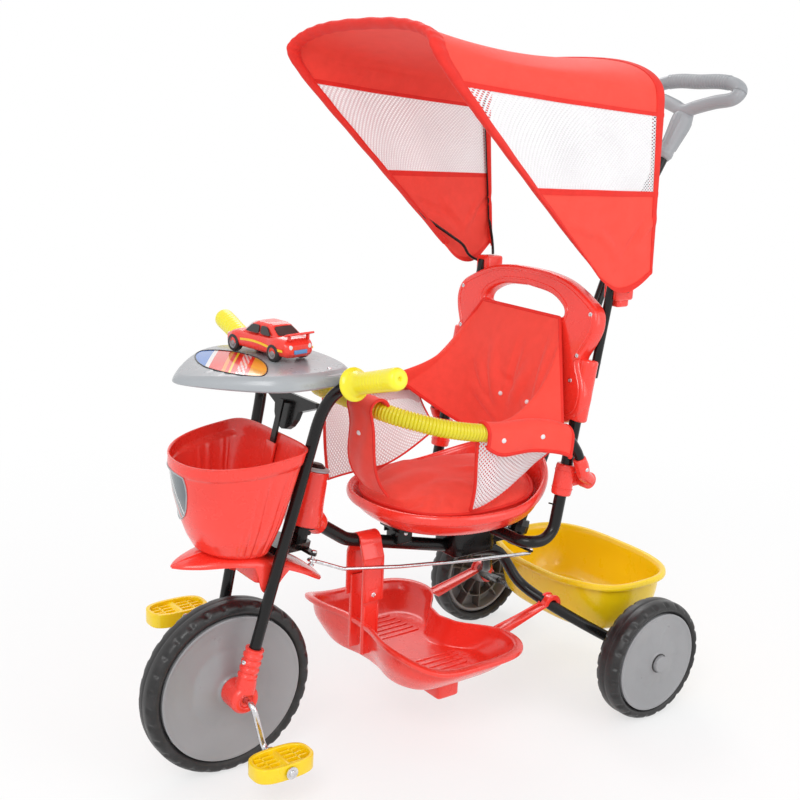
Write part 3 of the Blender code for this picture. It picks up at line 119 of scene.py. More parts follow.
def softCorners(points, reach, samples=5, closed=False):
    # each corner becomes the parabola (1-t)^2 s + 2t(1-t) p + t^2 e that starts and ends `reach` from it
    p = np.asarray(points, float)
    before, after = np.roll(p, 1, 0) - p, np.roll(p, -1, 0) - p
    near = np.minimum(reach, 0.49 * np.linalg.norm(before, axis=1))[:, None]
    far = np.minimum(reach, 0.49 * np.linalg.norm(after, axis=1))[:, None]
    s, e = p + unit(before) * near, p + unit(after) * far
    t = np.linspace(0, 1, samples)[None, :, None]
    q = (1 - t) ** 2 * s[:, None] + 2 * t * (1 - t) * p[:, None] + t ** 2 * e[:, None]
    if closed:
        return q.reshape(-1, p.shape[1])
    return np.vstack([p[:1], q[1:-1].reshape(-1, p.shape[1]), p[-1:]])


def evenly(line, count, closed=False):
    # the same line with its points at equal steps of arc length
    p = np.asarray(line, float)
    if closed:
        p = np.vstack([p, p[:1]])
    run = np.concatenate([[0], np.cumsum(np.linalg.norm(np.diff(p, axis=0), axis=1))])
    want = np.linspace(0, run[-1], count + 1)[:-1] if closed else np.linspace(0, run[-1], count)
    return np.stack([np.interp(want, run, p[:, k]) for k in range(p.shape[1])], 1)


def mirroredOutline(half):
    # the right half from the middle's first point to its last, completed with -x
    h = np.asarray(half, float)
    left = h[::-1][np.abs(h[::-1][:, 0]) > 1e-6] * [-1, 1]
    return np.vstack([h, left])


def inwards(outline, inset):
    # every point moved along its own inward normal, for a closed flat outline
    p = np.asarray(outline, float)
    t = unit(np.roll(p, -1, 0) - np.roll(p, 1, 0))
    turn = np.sum(p[:, 0] * np.roll(p[:, 1], -1) - np.roll(p[:, 0], -1) * p[:, 1])
    n = np.stack([-t[:, 1], t[:, 0]], 1) * math.copysign(1, turn)
    return p + n * inset


def ovalOutline(halfX, halfY, power=2.4, count=64, middle=(0, 0)):
    # a superellipse: |x/a|^p + |y/b|^p = 1
    a = angles(count)
    c, s = np.cos(a), np.sin(a)
    return np.stack([middle[0] + halfX * curve(c, 2 / power), middle[1] + halfY * curve(s, 2 / power)], 1)


# Shapes: each returns (points, faces)

def gridShape(grid, wrapU=False, wrapV=False, capStart=False, capEnd=False):
    # quads over a grid of points [i, j]; either way round may close on itself, the end rows may be filled
    nu, nv = grid.shape[:2]
    i = np.arange(nu if wrapU else nu - 1)[:, None]
    j = np.arange(nv if wrapV else nv - 1)[None, :]
    k, m = (i + 1) % nu, (j + 1) % nv
    faces = np.stack([i * nv + j, k * nv + j, k * nv + m, i * nv + m], -1).reshape(-1, 4).tolist()
    if capStart:
        faces.append(list(range(nv))[::-1])
    if capEnd:
        faces.append(list(range((nu - 1) * nv, nu * nv)))
    return grid.reshape(-1, 3), faces


def skin(grid):
    # rows of a closed outline, with both end rows filled
    return gridShape(grid, wrapV=True, capStart=True, capEnd=True)


def turnedShape(profile, base, axis, steps=72, ring=False, wobble=None):
    # (radius, height) turned about an axis: base + w h + (u cos a + v sin a) r
    w = unit(axis)
    u = unit(np.cross(w, (0.31, 0.62, 0.72)))
    if abs(w[0]) > 0.9:
        u = np.array([0.0, 0.0, 1.0])
        u = unit(u - w * np.dot(u, w))
    v = np.cross(w, u)
    p = np.asarray(profile, float)
    a = angles(steps)
    r, h = p[:, 0, None] + 0 * a, p[:, 1, None] + 0 * a
    if wobble is not None:
        r, h = wobble(r, h, a)
    grid = np.asarray(base) + w * h[..., None] + (u * np.cos(a)[:, None] + v * np.sin(a)[:, None]) * r[...,
        None]
    return gridShape(grid, wrapU=ring, wrapV=True)


def pipeShape(route, radius, side=(1, 0, 0), steps=24, closed=False, roundEnd=0.0, flat=1.0):
    # circles carried along a line, square to it: c + (u cos a + v sin a) r, with softly closed ends
    c = np.asarray(route, float)
    r = np.broadcast_to(np.asarray(radius, float), (len(c),)).copy()
    if closed:
        t = unit(np.roll(c, -1, 0) - np.roll(c, 1, 0))
    else:
        t = unit(np.gradient(c, axis=0))
    if roundEnd and not closed:
        k = np.linspace(0, math.pi / 2, 5)[1:]
        back, front = np.cos(k)[::-1], np.cos(k)
        head = c[0] - t[0] * (roundEnd * np.sin(k)[::-1])[:, None]
        tail = c[-1] + t[-1] * (roundEnd * np.sin(k))[:, None]
        r = np.concatenate([r[0] - roundEnd * (1 - back), r, r[-1] - roundEnd * (1 - front)])
        c, t = np.vstack([head, c, tail]), np.vstack([np.tile(t[0], (4, 1)), t, np.tile(t[-1], (4, 1))])
    u = unit(np.cross(np.broadcast_to(side, t.shape), t))
    v = np.cross(t, u)
    a = angles(steps)
    grid = c[:, None] + (u[:, None] * np.cos(a)[None, :, None] + v[:, None] * flat
        * np.sin(a)[None, :, None]) * r[:, None, None]
    return gridShape(grid, wrapU=closed, wrapV=True, capStart=not closed, capEnd=not closed)


def placed(flat, height, place):
    # (x, y, h) set down by place = (origin, x axis, y axis, z axis)
    o, ax, ay, az = (np.asarray(q, float) for q in place)
    return o + ax * flat[..., 0:1] + ay * flat[..., 1:2] + az * np.asarray(height)[..., None]


def roundedLevels(low, high, r, steps=4):
    # (inset, height) up a plate's edge, a quarter circle at each corner
    k = np.linspace(0, math.pi / 2, steps)
    lowEdge = [(r * (1 - math.sin(q)), low + r * (1 - math.cos(q))) for q in k]
    return lowEdge + [(r * (1 - math.cos(q)), high - r * (1 - math.sin(q))) for q in k]


def plateShape(outline, levels, place):
    # an outline offset inwards level by level, both ends filled
    rows = [placed(inwards(outline, inset), np.full(len(outline), h), place) for inset, h in levels]
    return skin(np.stack(rows))


def framePlate(outer, hole, half, r, place):
    # a plate with one hole: round the outer edge, over the face, down through the hole and back under
    n = len(outer)
    k = np.linspace(0, math.pi / 2, 4)
    rows = [(inwards(outer, r * (1 - math.sin(q))), -half + r * (1 - math.cos(q))) for q in k]
    rows += [(inwards(outer, r * (1 - math.cos(q))), half - r * (1 - math.sin(q))) for q in k]
    face = [0.25, 0.5, 0.75]
    rows += [(inwards(outer, r) * (1 - f) + inwards(hole, -r) * f, half) for f in face]
    rows += [(inwards(hole, -r * (1 - math.sin(q))), half - r * (1 - math.cos(q))) for q in k]
    rows += [(inwards(hole, -r * (1 - math.cos(q))), -half + r * (1 - math.sin(q))) for q in k]
    rows += [(inwards(hole, -r) * (1 - f) + inwards(outer, r) * f, -half) for f in face]
    grid = np.stack([placed(p, np.full(n, h), place) for p, h in rows])
    return gridShape(grid, wrapU=True, wrapV=True)


def roundBox(middle, half, r=0.003, axes=None, power=6):
    # a box with soft edges: a superellipse outline with rounded levels
    axes = axes if axes is not None else np.eye(3)
    place = (middle, axes[0], axes[1], axes[2])
    return plateShape(ovalOutline(half[0], half[1], power, 40), roundedLevels(-half[2], half[2], r), place)


def screwShape(middle, axis, radius=0.004, height=0.0016):
    # a pan head with a cross recess, in its piece's second look
    profile = [(0, height), (radius * 0.5, height * 0.96), (radius * 0.85, height * 0.7),
        (radius, height * 0.1), (radius, -0.001), (0, -0.001)]

    def cross(r, h, a):
        slot = np.maximum(bump(np.sin(a) * r / (radius * 0.16)), bump(np.cos(a) * r / (radius * 0.16)))
        return r, h - slot * height * 0.6 * (r < radius * 0.62) * (h > 0)
    fine = evenly(profile[:4], 12)
    return (*turnedShape(np.vstack([fine, profile[4:]]), middle, axis, 32, wobble=cross), 1)


def finishObject(name, mesh, looks, body, instead, sharp, weld=None):
    # doubles joined, faces turned outwards; it then rides its body in place of the nodes it replaces
    work = bmesh.new()
    work.from_mesh(mesh)
    if weld:
        bmesh.ops.remove_doubles(work, verts=work.verts, dist=weld)
        bmesh.ops.dissolve_degenerate(work, edges=work.edges, dist=1e-7)
    bmesh.ops.recalc_face_normals(work, faces=work.faces)
    work.to_mesh(mesh)
    work.free()
    mesh.shade_smooth()
    mesh.set_sharp_from_angle(angle=math.radians(sharp))
    obj = bpy.data.objects.new(name, mesh)
    bpy.context.scene.collection.objects.link(obj)
    looks = looks if isinstance(looks, list) else [looks]
    for look in looks:
        mesh.materials.append(look)
    if body:
        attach(obj, body)
    if instead:
        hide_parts(*instead)
    return obj


def makePiece(name, shapes, looks, body, instead=(), sharp=38, weld=1e-5):
    # joins (points, faces) or (points, faces, look number) into one object at the origin
    points, faces, marks, start = [], [], [], 0
    for shape in shapes:
        points.append(np.asarray(shape[0], float))
        faces += [[start + k for k in f] for f in shape[1]]
        marks += [shape[2] if len(shape) > 2 else 0] * len(shape[1])
        start += len(shape[0])
    mesh = bpy.data.meshes.new(name)
    mesh.from_pydata((np.vstack(points) + toFrame).tolist(), [], faces)
    mesh.polygons.foreach_set("material_index", marks)
    return finishObject(name, mesh, looks, body, instead, sharp, weld)


def writeMap(mesh, uv):
    # each point's (u, v), set on the corners that meet there
    layer = mesh.uv_layers.new(name="map")
    corners = np.zeros(len(mesh.loops), int)
    mesh.loops.foreach_get("vertex_index", corners)
    layer.data.foreach_set("uv", np.asarray(uv, float)[corners].ravel())


def mapped(obj, uv):
    # a map of (u, v) worked out from the object's points
    spots = np.zeros(len(obj.data.vertices) * 3)
    obj.data.vertices.foreach_get("co", spots)
    writeMap(obj.data, uv(spots.reshape(-1, 3) - toFrame))


# Finishes

def linkedNodes(name):
    # a new finish: its node tree, its shader and the coordinates at hand
    look = bpy.data.materials.new(name)
    look.use_nodes = True
    tree = look.node_tree
    return look, tree, tree.nodes["Principled BSDF"], tree.nodes.new("ShaderNodeTexCoord")


def setSockets(node, values):
    # constants on the node's own sockets
    for socket, value in values.items():
        node.inputs[socket].default_value = value


def noiseNode(tree, place, scale, detail=3.0, rough=0.5):
    # cloudy noise over the object's own coordinates
    noise = tree.nodes.new("ShaderNodeTexNoise")
    setSockets(noise, {"Scale": scale, "Detail": detail, "Roughness": rough})
    tree.links.new(place.outputs["Object"], noise.inputs["Vector"])
    return noise.outputs["Fac"]


def rangeNode(tree, value, low, high, fromLow=0.3, fromHigh=0.7):
    # low + (high - low) (value - fromLow) / (fromHigh - fromLow), held between low and high
    ranged = tree.nodes.new("ShaderNodeMapRange")
    setSockets(ranged, {"From Min": fromLow, "From Max": fromHigh, "To Min": low, "To Max": high})
    tree.links.new(value, ranged.inputs["Value"])
    return ranged.outputs["Result"]


def blendNode(tree, factor, a, b):
    # a (1 - factor) + b factor, of colours or sockets
    mix = tree.nodes.new("ShaderNodeMix")
    mix.data_type = "RGBA"
    tree.links.new(factor, mix.inputs["Factor"])
    for socket, value in ((6, a), (7, b)):
        if isinstance(value, tuple):
            mix.inputs[socket].default_value = (*value[:3], 1.0)
        else:
            tree.links.new(value, mix.inputs[socket])
    return mix.outputs[2]


def mathNode(tree, operation, *values):
    # one operation on numbers or sockets
    node = tree.nodes.new("ShaderNodeMath")
    node.operation = operation
    for k, value in enumerate(values):
        if isinstance(value, (int, float)):
            node.inputs[k].default_value = value
        else:
            tree.links.new(value, node.inputs[k])
    return node.outputs["Value"]


def bumpNode(tree, shader, height, strength, distance=0.001, before=None):
    # tilts the shading by the slope of a height, on top of an earlier tilt
    node = tree.nodes.new("ShaderNodeBump")
    setSockets(node, {"Strength": strength, "Distance": distance})
    tree.links.new(height, node.inputs["Height"])
    if before is not None:
        tree.links.new(before, node.inputs["Normal"])
    tree.links.new(node.outputs["Normal"], shader.inputs["Normal"])
    return node.outputs["Normal"]


def mouldedPlastic(name, colour, rough=0.3, coat=0.35, mottle=0.05, grain=0.05, wave=0.12, glow=0.0):
    # colour drifts a little with flow of the melt; a soft unevenness and fine grain in the surface
    look, tree, shader, place = linkedNodes(name)
    drift = noiseNode(tree, place, 9.0, 2.0)
    darker = tuple(c * (1 - mottle * 2) for c in colour)
    lighter = tuple(min(1.0, c * (1 + mottle)) for c in colour)
    tree.links.new(blendNode(tree, rangeNode(tree, drift, 0.0, 1.0), darker, lighter),
        shader.inputs["Base Color"])
    patch = noiseNode(tree, place, 38.0, 4.0, 0.6)
    tree.links.new(rangeNode(tree, patch, rough * 0.8, rough * 1.25), shader.inputs["Roughness"])
    setSockets(shader, {"Coat Weight": coat, "Coat Roughness": 0.12})
    if glow:
        setSockets(shader, {"Subsurface Weight": glow, "Subsurface Radius": (0.006, 0.003, 0.002)})
    soft = bumpNode(tree, shader, noiseNode(tree, place, 24.0, 1.5), wave, 0.0015)
    bumpNode(tree, shader, noiseNode(tree, place, 1400.0, 2.0), grain, 0.0003, soft)
    return look


def paintedSteel(name, colour, rough=0.2, speck=0.1):
    # gloss stoved paint: orange-peel ripple, dust-fine specks, the odd dull patch
    look, tree, shader, place = linkedNodes(name)
    patch = noiseNode(tree, place, 30.0, 5.0, 0.65)
    tree.links.new(blendNode(tree, rangeNode(tree, patch, 0.0, 1.0, 0.35, 0.75), colour,
        tuple(c * 1.4 + 0.001 for c in colour)), shader.inputs["Base Color"])
    tree.links.new(rangeNode(tree, patch, rough * 0.75, rough * 1.5), shader.inputs["Roughness"])
    setSockets(shader, {"Specular IOR Level": 0.25, "Coat Weight": 0.16, "Coat Roughness": 0.05})
    bumpNode(tree, shader, noiseNode(tree, place, 420.0, 2.0), speck, 0.0004)
    return look


def brightSteel(name):
    # plated rod: drawn lines along it and faint handling marks
    look, tree, shader, place = linkedNodes(name)
    shader.inputs["Metallic"].default_value = 1.0
    marks = noiseNode(tree, place, 160.0, 5.0, 0.7)
    tree.links.new(blendNode(tree, rangeNode(tree, marks, 0.0, 1.0), (0.55, 0.55, 0.57),
        (0.86, 0.86, 0.88)), shader.inputs["Base Color"])
    tree.links.new(rangeNode(tree, marks, 0.1, 0.28), shader.inputs["Roughness"])
    bumpNode(tree, shader, noiseNode(tree, place, 900.0, 2.0), 0.05, 0.0002)
    return look


def blackRubber(name):
    # foam tyre: low sheen, scuffs lighter on the tread, fine skin
    look, tree, shader, place = linkedNodes(name)
    scuff = noiseNode(tree, place, 55.0, 6.0, 0.7)
    tree.links.new(blendNode(tree, rangeNode(tree, scuff, 0.0, 1.0, 0.45, 0.8), (0.012, 0.0115, 0.012),
        (0.034, 0.032, 0.033)), shader.inputs["Base Color"])
    tree.links.new(rangeNode(tree, scuff, 0.28, 0.5), shader.inputs["Roughness"])
    soft = bumpNode(tree, shader, noiseNode(tree, place, 60.0, 2.0), 0.15, 0.001)
    bumpNode(tree, shader, noiseNode(tree, place, 2200.0, 2.0), 0.12, 0.0003, soft)
    return look


def wovenCloth(name, colour, threads=1500.0, crumple=0.35, sheen=0.12):
    # two crossed thread waves on the cloth's own map, slubs in the colour, creases in the normal
    look, tree, shader, place = linkedNodes(name)
    split = tree.nodes.new("ShaderNodeSeparateXYZ")
    tree.links.new(place.outputs["UV"], split.inputs["Vector"])
    warp = mathNode(tree, "SINE", mathNode(tree, "MULTIPLY", split.outputs["X"], threads * tau))
    weft = mathNode(tree, "SINE", mathNode(tree, "MULTIPLY", split.outputs["Y"], threads * tau))
    weave = mathNode(tree, "MULTIPLY", warp, weft)
    slub = noiseNode(tree, place, 60.0, 5.0, 0.65)
    darker = tuple(c * 0.93 for c in colour)
    lighter = tuple(min(1.0, c * 1.03 + 0.004) for c in colour)
    shade = blendNode(tree, rangeNode(tree, slub, 0.0, 1.0), darker, lighter)
    tree.links.new(blendNode(tree, rangeNode(tree, weave, 0.0, 0.22, -1, 1), shade, darker),
        shader.inputs["Base Color"])
    setSockets(shader, {"Roughness": 0.62, "Sheen Weight": sheen, "Sheen Roughness": 0.4,
        "Specular IOR Level": 0.3})
    crease = noiseNode(tree, place, 14.0, 3.0, 0.5)
    # painted glow: the cloth gives off a faint light of its own colour, though it is no lamp
    setSockets(shader, {"Emission Color": (*colour, 1), "Emission Strength": 0.03})
    soft = bumpNode(tree, shader, crease, crumple, 0.006)
    bumpNode(tree, shader, weave, 0.35, 0.00025, soft)
    return look


def openNet(name, colour, pitch=0.0062, hole=0.36):
    # warp-knit net: rows of lozenge holes, every other row set over by half, on the cloth's own map
    look, tree, shader, place = linkedNodes(name)
    split = tree.nodes.new("ShaderNodeSeparateXYZ")
    tree.links.new(place.outputs["UV"], split.inputs["Vector"])
    x = mathNode(tree, "DIVIDE", split.outputs["X"], pitch)
    y = mathNode(tree, "DIVIDE", split.outputs["Y"], pitch)

    def lattice(shift):
        parts = [mathNode(tree, "FRACT", mathNode(tree, "ADD", q, shift)) for q in (x, y)]
        fx, fy = (mathNode(tree, "ABSOLUTE", mathNode(tree, "SUBTRACT", part, 0.5)) for part in parts)
        return mathNode(tree, "ADD", fx, mathNode(tree, "MULTIPLY", fy, 0.8))
    nearest = mathNode(tree, "MINIMUM", lattice(0.0), lattice(0.5))
    solid = mathNode(tree, "GREATER_THAN", nearest, hole * 0.5 + 0.06)
    tree.links.new(solid, shader.inputs["Alpha"])
    fuzz = noiseNode(tree, place, 11.0, 3.0)
    tree.links.new(blendNode(tree, rangeNode(tree, fuzz, 0.42, 0.6), tuple(c * 0.66 for c in colour),
        colour), shader.inputs["Base Color"])
    # roughness, and a faint near-white painted glow given off by the threads, though they are no lamp
    setSockets(shader, {"Roughness": 0.6, "Emission Color": (1.0, 0.985, 1.0, 1), "Emission Strength": 0.08})
    bumpNode(tree, shader, nearest, 0.3, 0.0004)
    return look


redPlastic = mouldedPlastic("red moulded plastic", (0.92, 0.042, 0.026), 0.26, 0.45, 0.04, 0.03, 0.1, 0.04)
greyPlastic = mouldedPlastic("grey console plastic", (0.36, 0.38, 0.4), 0.3, 0.25, 0.03, 0.02, 0.1)
discPlastic = mouldedPlastic("grey wheel plastic", (0.3, 0.302, 0.312), 0.34, 0.15, 0.04, 0.05, 0.22)
handlePlastic = mouldedPlastic("grey handle plastic", (0.34, 0.355, 0.375), 0.4, 0.1, 0.04, 0.1, 0.12)
yellowPlastic = mouldedPlastic("yellow plastic", (0.98, 0.68, 0.003), 0.3, 0.3, 0.03, 0.03, 0.1, 0.06)
lemonPlastic = mouldedPlastic("lemon plastic", (0.92, 0.82, 0.022), 0.33, 0.2, 0.04, 0.05, 0.1, 0.05)
sleevePlastic = mouldedPlastic("yellow sleeve plastic", (0.76, 0.66, 0.01), 0.3, 0.3, 0.04, 0.04, 0.1, 0.04)
whitePlastic = mouldedPlastic("white plastic", (0.8, 0.78, 0.79), 0.35, 0.2, 0.03, 0.04)
darkPlastic = mouldedPlastic("dark spoke plastic", (0.035, 0.031, 0.03), 0.38, 0.1, 0.1, 0.08, 0.15)
dullGrey = mouldedPlastic("dull grey plastic", (0.16, 0.145, 0.13), 0.45, 0.05, 0.08, 0.08, 0.15)
blackPaint = paintedSteel("black stoved paint", (0.005, 0.0046, 0.0048), 0.24)
steel = brightSteel("bright plated steel")
rubber = blackRubber("black tyre foam")
redCloth = wovenCloth("red polyester cloth", (0.93, 0.072, 0.048), 1500.0, 0.16)
redTape = wovenCloth("red binding tape", (0.8, 0.028, 0.018), 1100.0, 0.12, 0.05)
whiteNet = openNet("white net", (0.93, 0.91, 0.93), 0.0062, 0.4)
# the name that the table gives to each finish
slotLooks = (("red_plastic", [redPlastic]), ("grey_plastic", [greyPlastic, discPlastic, handlePlastic]),
    ("yellow_plastic", [yellowPlastic]), ("lemon_plastic", [lemonPlastic, sleevePlastic]),
    ("black_paint", [blackPaint]), ("steel", [steel]), ("black_rubber", [rubber]),
    ("red_fabric", [redCloth, redTape]), ("white_mesh", [whiteNet]))
slotOf = {look.name: slot for slot, looks in slotLooks for look in looks}
print("finishes ready")

# Room, lamps and camera
room = {"floor": (0.93, 0.93, 0.935), "keyPower": 33.0, "fillPower": 13.0, "backPower": 15.0,
    "ambient": 0.72}


def seenDirectly(tree):
    # 1 where the camera, a mirror or a clear pane looks at it, 0 for light it gives to the object
    path = tree.nodes.new("ShaderNodeLightPath")
    both = mathNode(tree, "MAXIMUM", path.outputs["Is Camera Ray"], path.outputs["Is Glossy Ray"])
    return mathNode(tree, "MAXIMUM", both, path.outputs["Is Transmission Ray"])


def standAt(obj, right, up, back, spot):
    # the object's own x, y and z axes and its place
    rows = zip(np.stack([right, up, back], 1).tolist(), spot)
    obj.matrix_world = Matrix([(*row, s) for row, s in rows] + [(0, 0, 0, 1)])
    bpy.context.scene.collection.objects.link(obj)


def buildRoom():
    # a floor and air that look white but light the object softly, and three lamps
    look = bpy.data.materials.new("pale floor")
    look.use_nodes = True
    tree = look.node_tree
    tree.nodes.remove(tree.nodes["Principled BSDF"])
    matt = tree.nodes.new("ShaderNodeBsdfDiffuse")
    matt.inputs["Color"].default_value = (*room["floor"], 1)
    white = tree.nodes.new("ShaderNodeEmission")
    mix = tree.nodes.new("ShaderNodeMixShader")
    spot = tree.nodes.new("ShaderNodeTexCoord")
    reach = tree.nodes.new("ShaderNodeVectorMath")
    reach.operation = "LENGTH"
    tree.links.new(spot.outputs["Object"], reach.inputs[0])
    paler = rangeNode(tree, reach.outputs["Value"], 0.66, 1.0, 0.55, 1.6)
    tree.links.new(mathNode(tree, "MULTIPLY", seenDirectly(tree), paler), mix.inputs["Fac"])
    tree.links.new(matt.outputs[0], mix.inputs[1])
    tree.links.new(white.outputs[0], mix.inputs[2])
    tree.links.new(mix.outputs[0], tree.nodes["Material Output"].inputs["Surface"])
    mesh = bpy.data.meshes.new("floor")
    mesh.from_pydata([(-12, -12, 0), (12, -12, 0), (12, 12, 0), (-12, 12, 0)], [], [(0, 1, 2, 3)])
    mesh.materials.append(look)
    floor = bpy.data.objects.new("floor", mesh)
    bpy.context.scene.collection.objects.link(floor)
    world = bpy.data.worlds.new("studio")
    world.use_nodes = True
    bpy.context.scene.world = world
    air = world.node_tree.nodes["Background"]
    strength = mathNode(world.node_tree, "ADD", room["ambient"], mathNode(world.node_tree, "MULTIPLY",
        seenDirectly(world.node_tree), 1 - room["ambient"]))
    world.node_tree.links.new(strength, air.inputs["Strength"])
    air.inputs["Color"].default_value = (1, 1, 1, 1)
    for name, spot, aim, power, size in (("key", (1.6, -1.9, 2.3), (0, 0, 0.45), room["keyPower"], 1.3),
            ("fill", (2.3, 0.9, 1.3), (0, 0, 0.4), room["fillPower"], 1.6),
            ("back", (-1.7, 0.9, 2.2), (0, 0, 0.5), room["backPower"], 1.2)):
        lamp = bpy.data.lights.new(name, "AREA")
        lamp.energy, lamp.size = power, size
        obj = bpy.data.objects.new(name, lamp)
        back = unit(np.array(spot) - np.array(aim))
        right = unit(np.cross((0, 0, 1), back))
        standAt(obj, right, np.cross(back, right), back, spot)


view = {"turn": 53.63, "lift": 14.01, "roll": 2.327, "spot": (1.347, -0.7148, 0.9144), "lens": 54}


def placeCamera():
    # stands ahead and to the left of the machine, a little above it, rolled by a hair
    a, e, r = (math.radians(view[word]) for word in ("turn", "lift", "roll"))
    back = vec(math.sin(a) * math.cos(e), -math.cos(a) * math.cos(e), math.sin(e))
    right = vec(math.cos(a), math.sin(a), 0)
    up = np.cross(back, right)
    right, up = right * math.cos(r) + up * math.sin(r), up * math.cos(r) - right * math.sin(r)
    lens = bpy.data.cameras.new("camera")
    lens.sensor_width, lens.lens = 36, view["lens"]
    camera = bpy.data.objects.new("camera", lens)
    standAt(camera, right, up, back, vec(*view["spot"]) + toFrame)
    bpy.context.scene.camera = camera


buildRoom()
placeCamera()
bpy.context.scene.view_settings.view_transform = "Standard"
print("room and camera ready")

# The line of the fork, which leans back by the rake
rake = math.radians(13.5)
frontAxle = vec(0, 0, 0.125)
steerUp = vec(0, math.sin(rake), math.cos(rake))
steerFront = vec(0, -math.cos(rake), math.sin(rake))


def onFork(x, front, up):
    # across, ahead of and along the fork, from the front wheel's centre
    return frontAxle + vec(x, 0, 0) + steerFront * front + steerUp * up


# Wheels
frontWheel = {"radius": 0.125, "disc": 0.105, "width": 0.042, "lugs": 30, "hub": 0.0205}
rearWheel = {"x": 0.208, "y": 0.619, "radius": 0.0945, "disc": 0.078, "width": 0.045, "lugs": 24,
    "hub": 0.0145}


def tyreShape(centre, axis, w):
    # a rounded band: the shoulder is scooped between lugs, r -= d bump(x) max(0, cos(n a))^2
    half, radius, bed = w["width"] / 2, w["radius"], w["disc"] + 0.0004
    section = softCorners([(bed, -half * 0.7), (bed + 0.3 * (radius - bed), -half * 0.97),
        (radius - 0.005, -half * 0.93), (radius, -half * 0.52), (radius, half * 0.52),
        (radius - 0.005, half * 0.93), (bed + 0.3 * (radius - bed), half * 0.97), (bed, half * 0.7)],
        0.0045, 7)
    section = evenly(section, 64)

    def lugs(r, h, a):
        edge = bump((np.abs(h) - half * 0.78) / (half * 0.3)) * (r > bed + 0.45 * (radius - bed))
        scoop = np.clip(np.cos(w["lugs"] * a + (h > 0) * math.pi), 0, 1) ** 2
        rib = bump(h / (half * 0.16)) * 0.0007
        return r - 0.0024 * edge * scoop - rib * (r > radius - 0.002), h - np.sign(h) * 0.0008 * edge * scoop
    return turnedShape(section, centre, axis, 360, ring=True, wobble=lugs)


def outerDisc(w, depth, swirl):
    # a shallow dish with a raised hub ring and soft pressed petals: h += d sin(k a) between hub and rim
    half, bed, hub = w["width"] / 2, w["disc"], w["hub"]
    face = half * 0.9
    line = [(0.0046, face + 0.002), (hub - 0.004, face + 0.0022), (hub - 0.001, face + 0.0034),
        (hub, face + 0.0034), (hub + 0.0022, face + 0.0004), (hub + 0.01, face - 0.0005),
        (bed * 0.55, face - depth), (bed * 0.8, face - depth * 0.6), (bed - 0.006, face - 0.0012),
        (bed - 0.003, face + 0.0008), (bed - 0.0004, face)]
    line = evenly(softCorners(line, 0.004, 5), 70)

    def pressed(r, h, a):
        band = bump((r - bed * 0.58) / (bed * 0.34))
        fold = np.tanh(2.2 * np.sin(swirl * a + r * 26)) * 0.0009
        return r, h + band * fold
    return line, pressed


def wheelDisc(name, centre, axis, w, depth, body, node, innerSpokes):
    # one closed section turned about the axle; the rear ones carry ten spokes and a ring behind
    line, pressed = outerDisc(w, depth, 5 if innerSpokes else 4)
    half, bed = w["width"] / 2, w["disc"]
    rim = [(bed - 0.0004, half * 0.55), (bed - 0.0004, -half * 0.45), (bed - 0.004, -half * 0.62)]
    if innerSpokes:
        back = [(bed - 0.008, -half * 0.6), (bed - 0.0085, half * 0.3), (0.02, half * 0.3),
            (0.018, -half * 0.9), (0.016, -half * 1.1), (0.0056, -half * 1.1)]
    else:
        back = [(bed - 0.006, -half * 0.7), (bed * 0.6, -half * 0.72), (0.02, -half * 0.72),
            (0.017, -half * 1.1), (0.0046, -half * 1.1)]
    shell = turnedShape(np.vstack([line, softCorners(rim + back, 0.002, 4)]), centre, axis, 180, ring=True,
        wobble=pressed)
    shapes = [shell]
    if innerSpokes:
        u, v = vec(0, 0, 1), np.cross(unit(axis), vec(0, 0, 1))
        axis = np.asarray(axis, float)
        for k in range(10):
            a = tau * k / 10
            out = u * math.cos(a) + v * math.sin(a)
            cross = np.cross(axis, out)
            middle = centre + out * (bed * 0.52) - axis * half * 0.1
            shapes.append((*roundBox(middle, (bed * 0.38, 0.0011, half * 0.42), 0.0006, (out, cross, axis)),
                1))
            if k % 2 == 0:
                boss = centre + out * (bed * 0.6)
                shapes.append(
                    (*turnedShape([(0.0, -half * 0.58), (0.0034, -half * 0.58), (0.0036, half * 0.28),
                    (0, half * 0.28)], boss, axis, 20), 1))
        ringLine = [(bed * 0.6 - 0.0009, -half * 0.5), (bed * 0.6 + 0.0009, -half * 0.5),
            (bed * 0.6 + 0.0009, half * 0.28), (bed * 0.6 - 0.0009, half * 0.28)]
        shapes.append((*turnedShape(ringLine, centre, axis, 96, ring=True), 1))
    makePiece(name, shapes, [discPlastic, dullGrey], body, [node], 30)


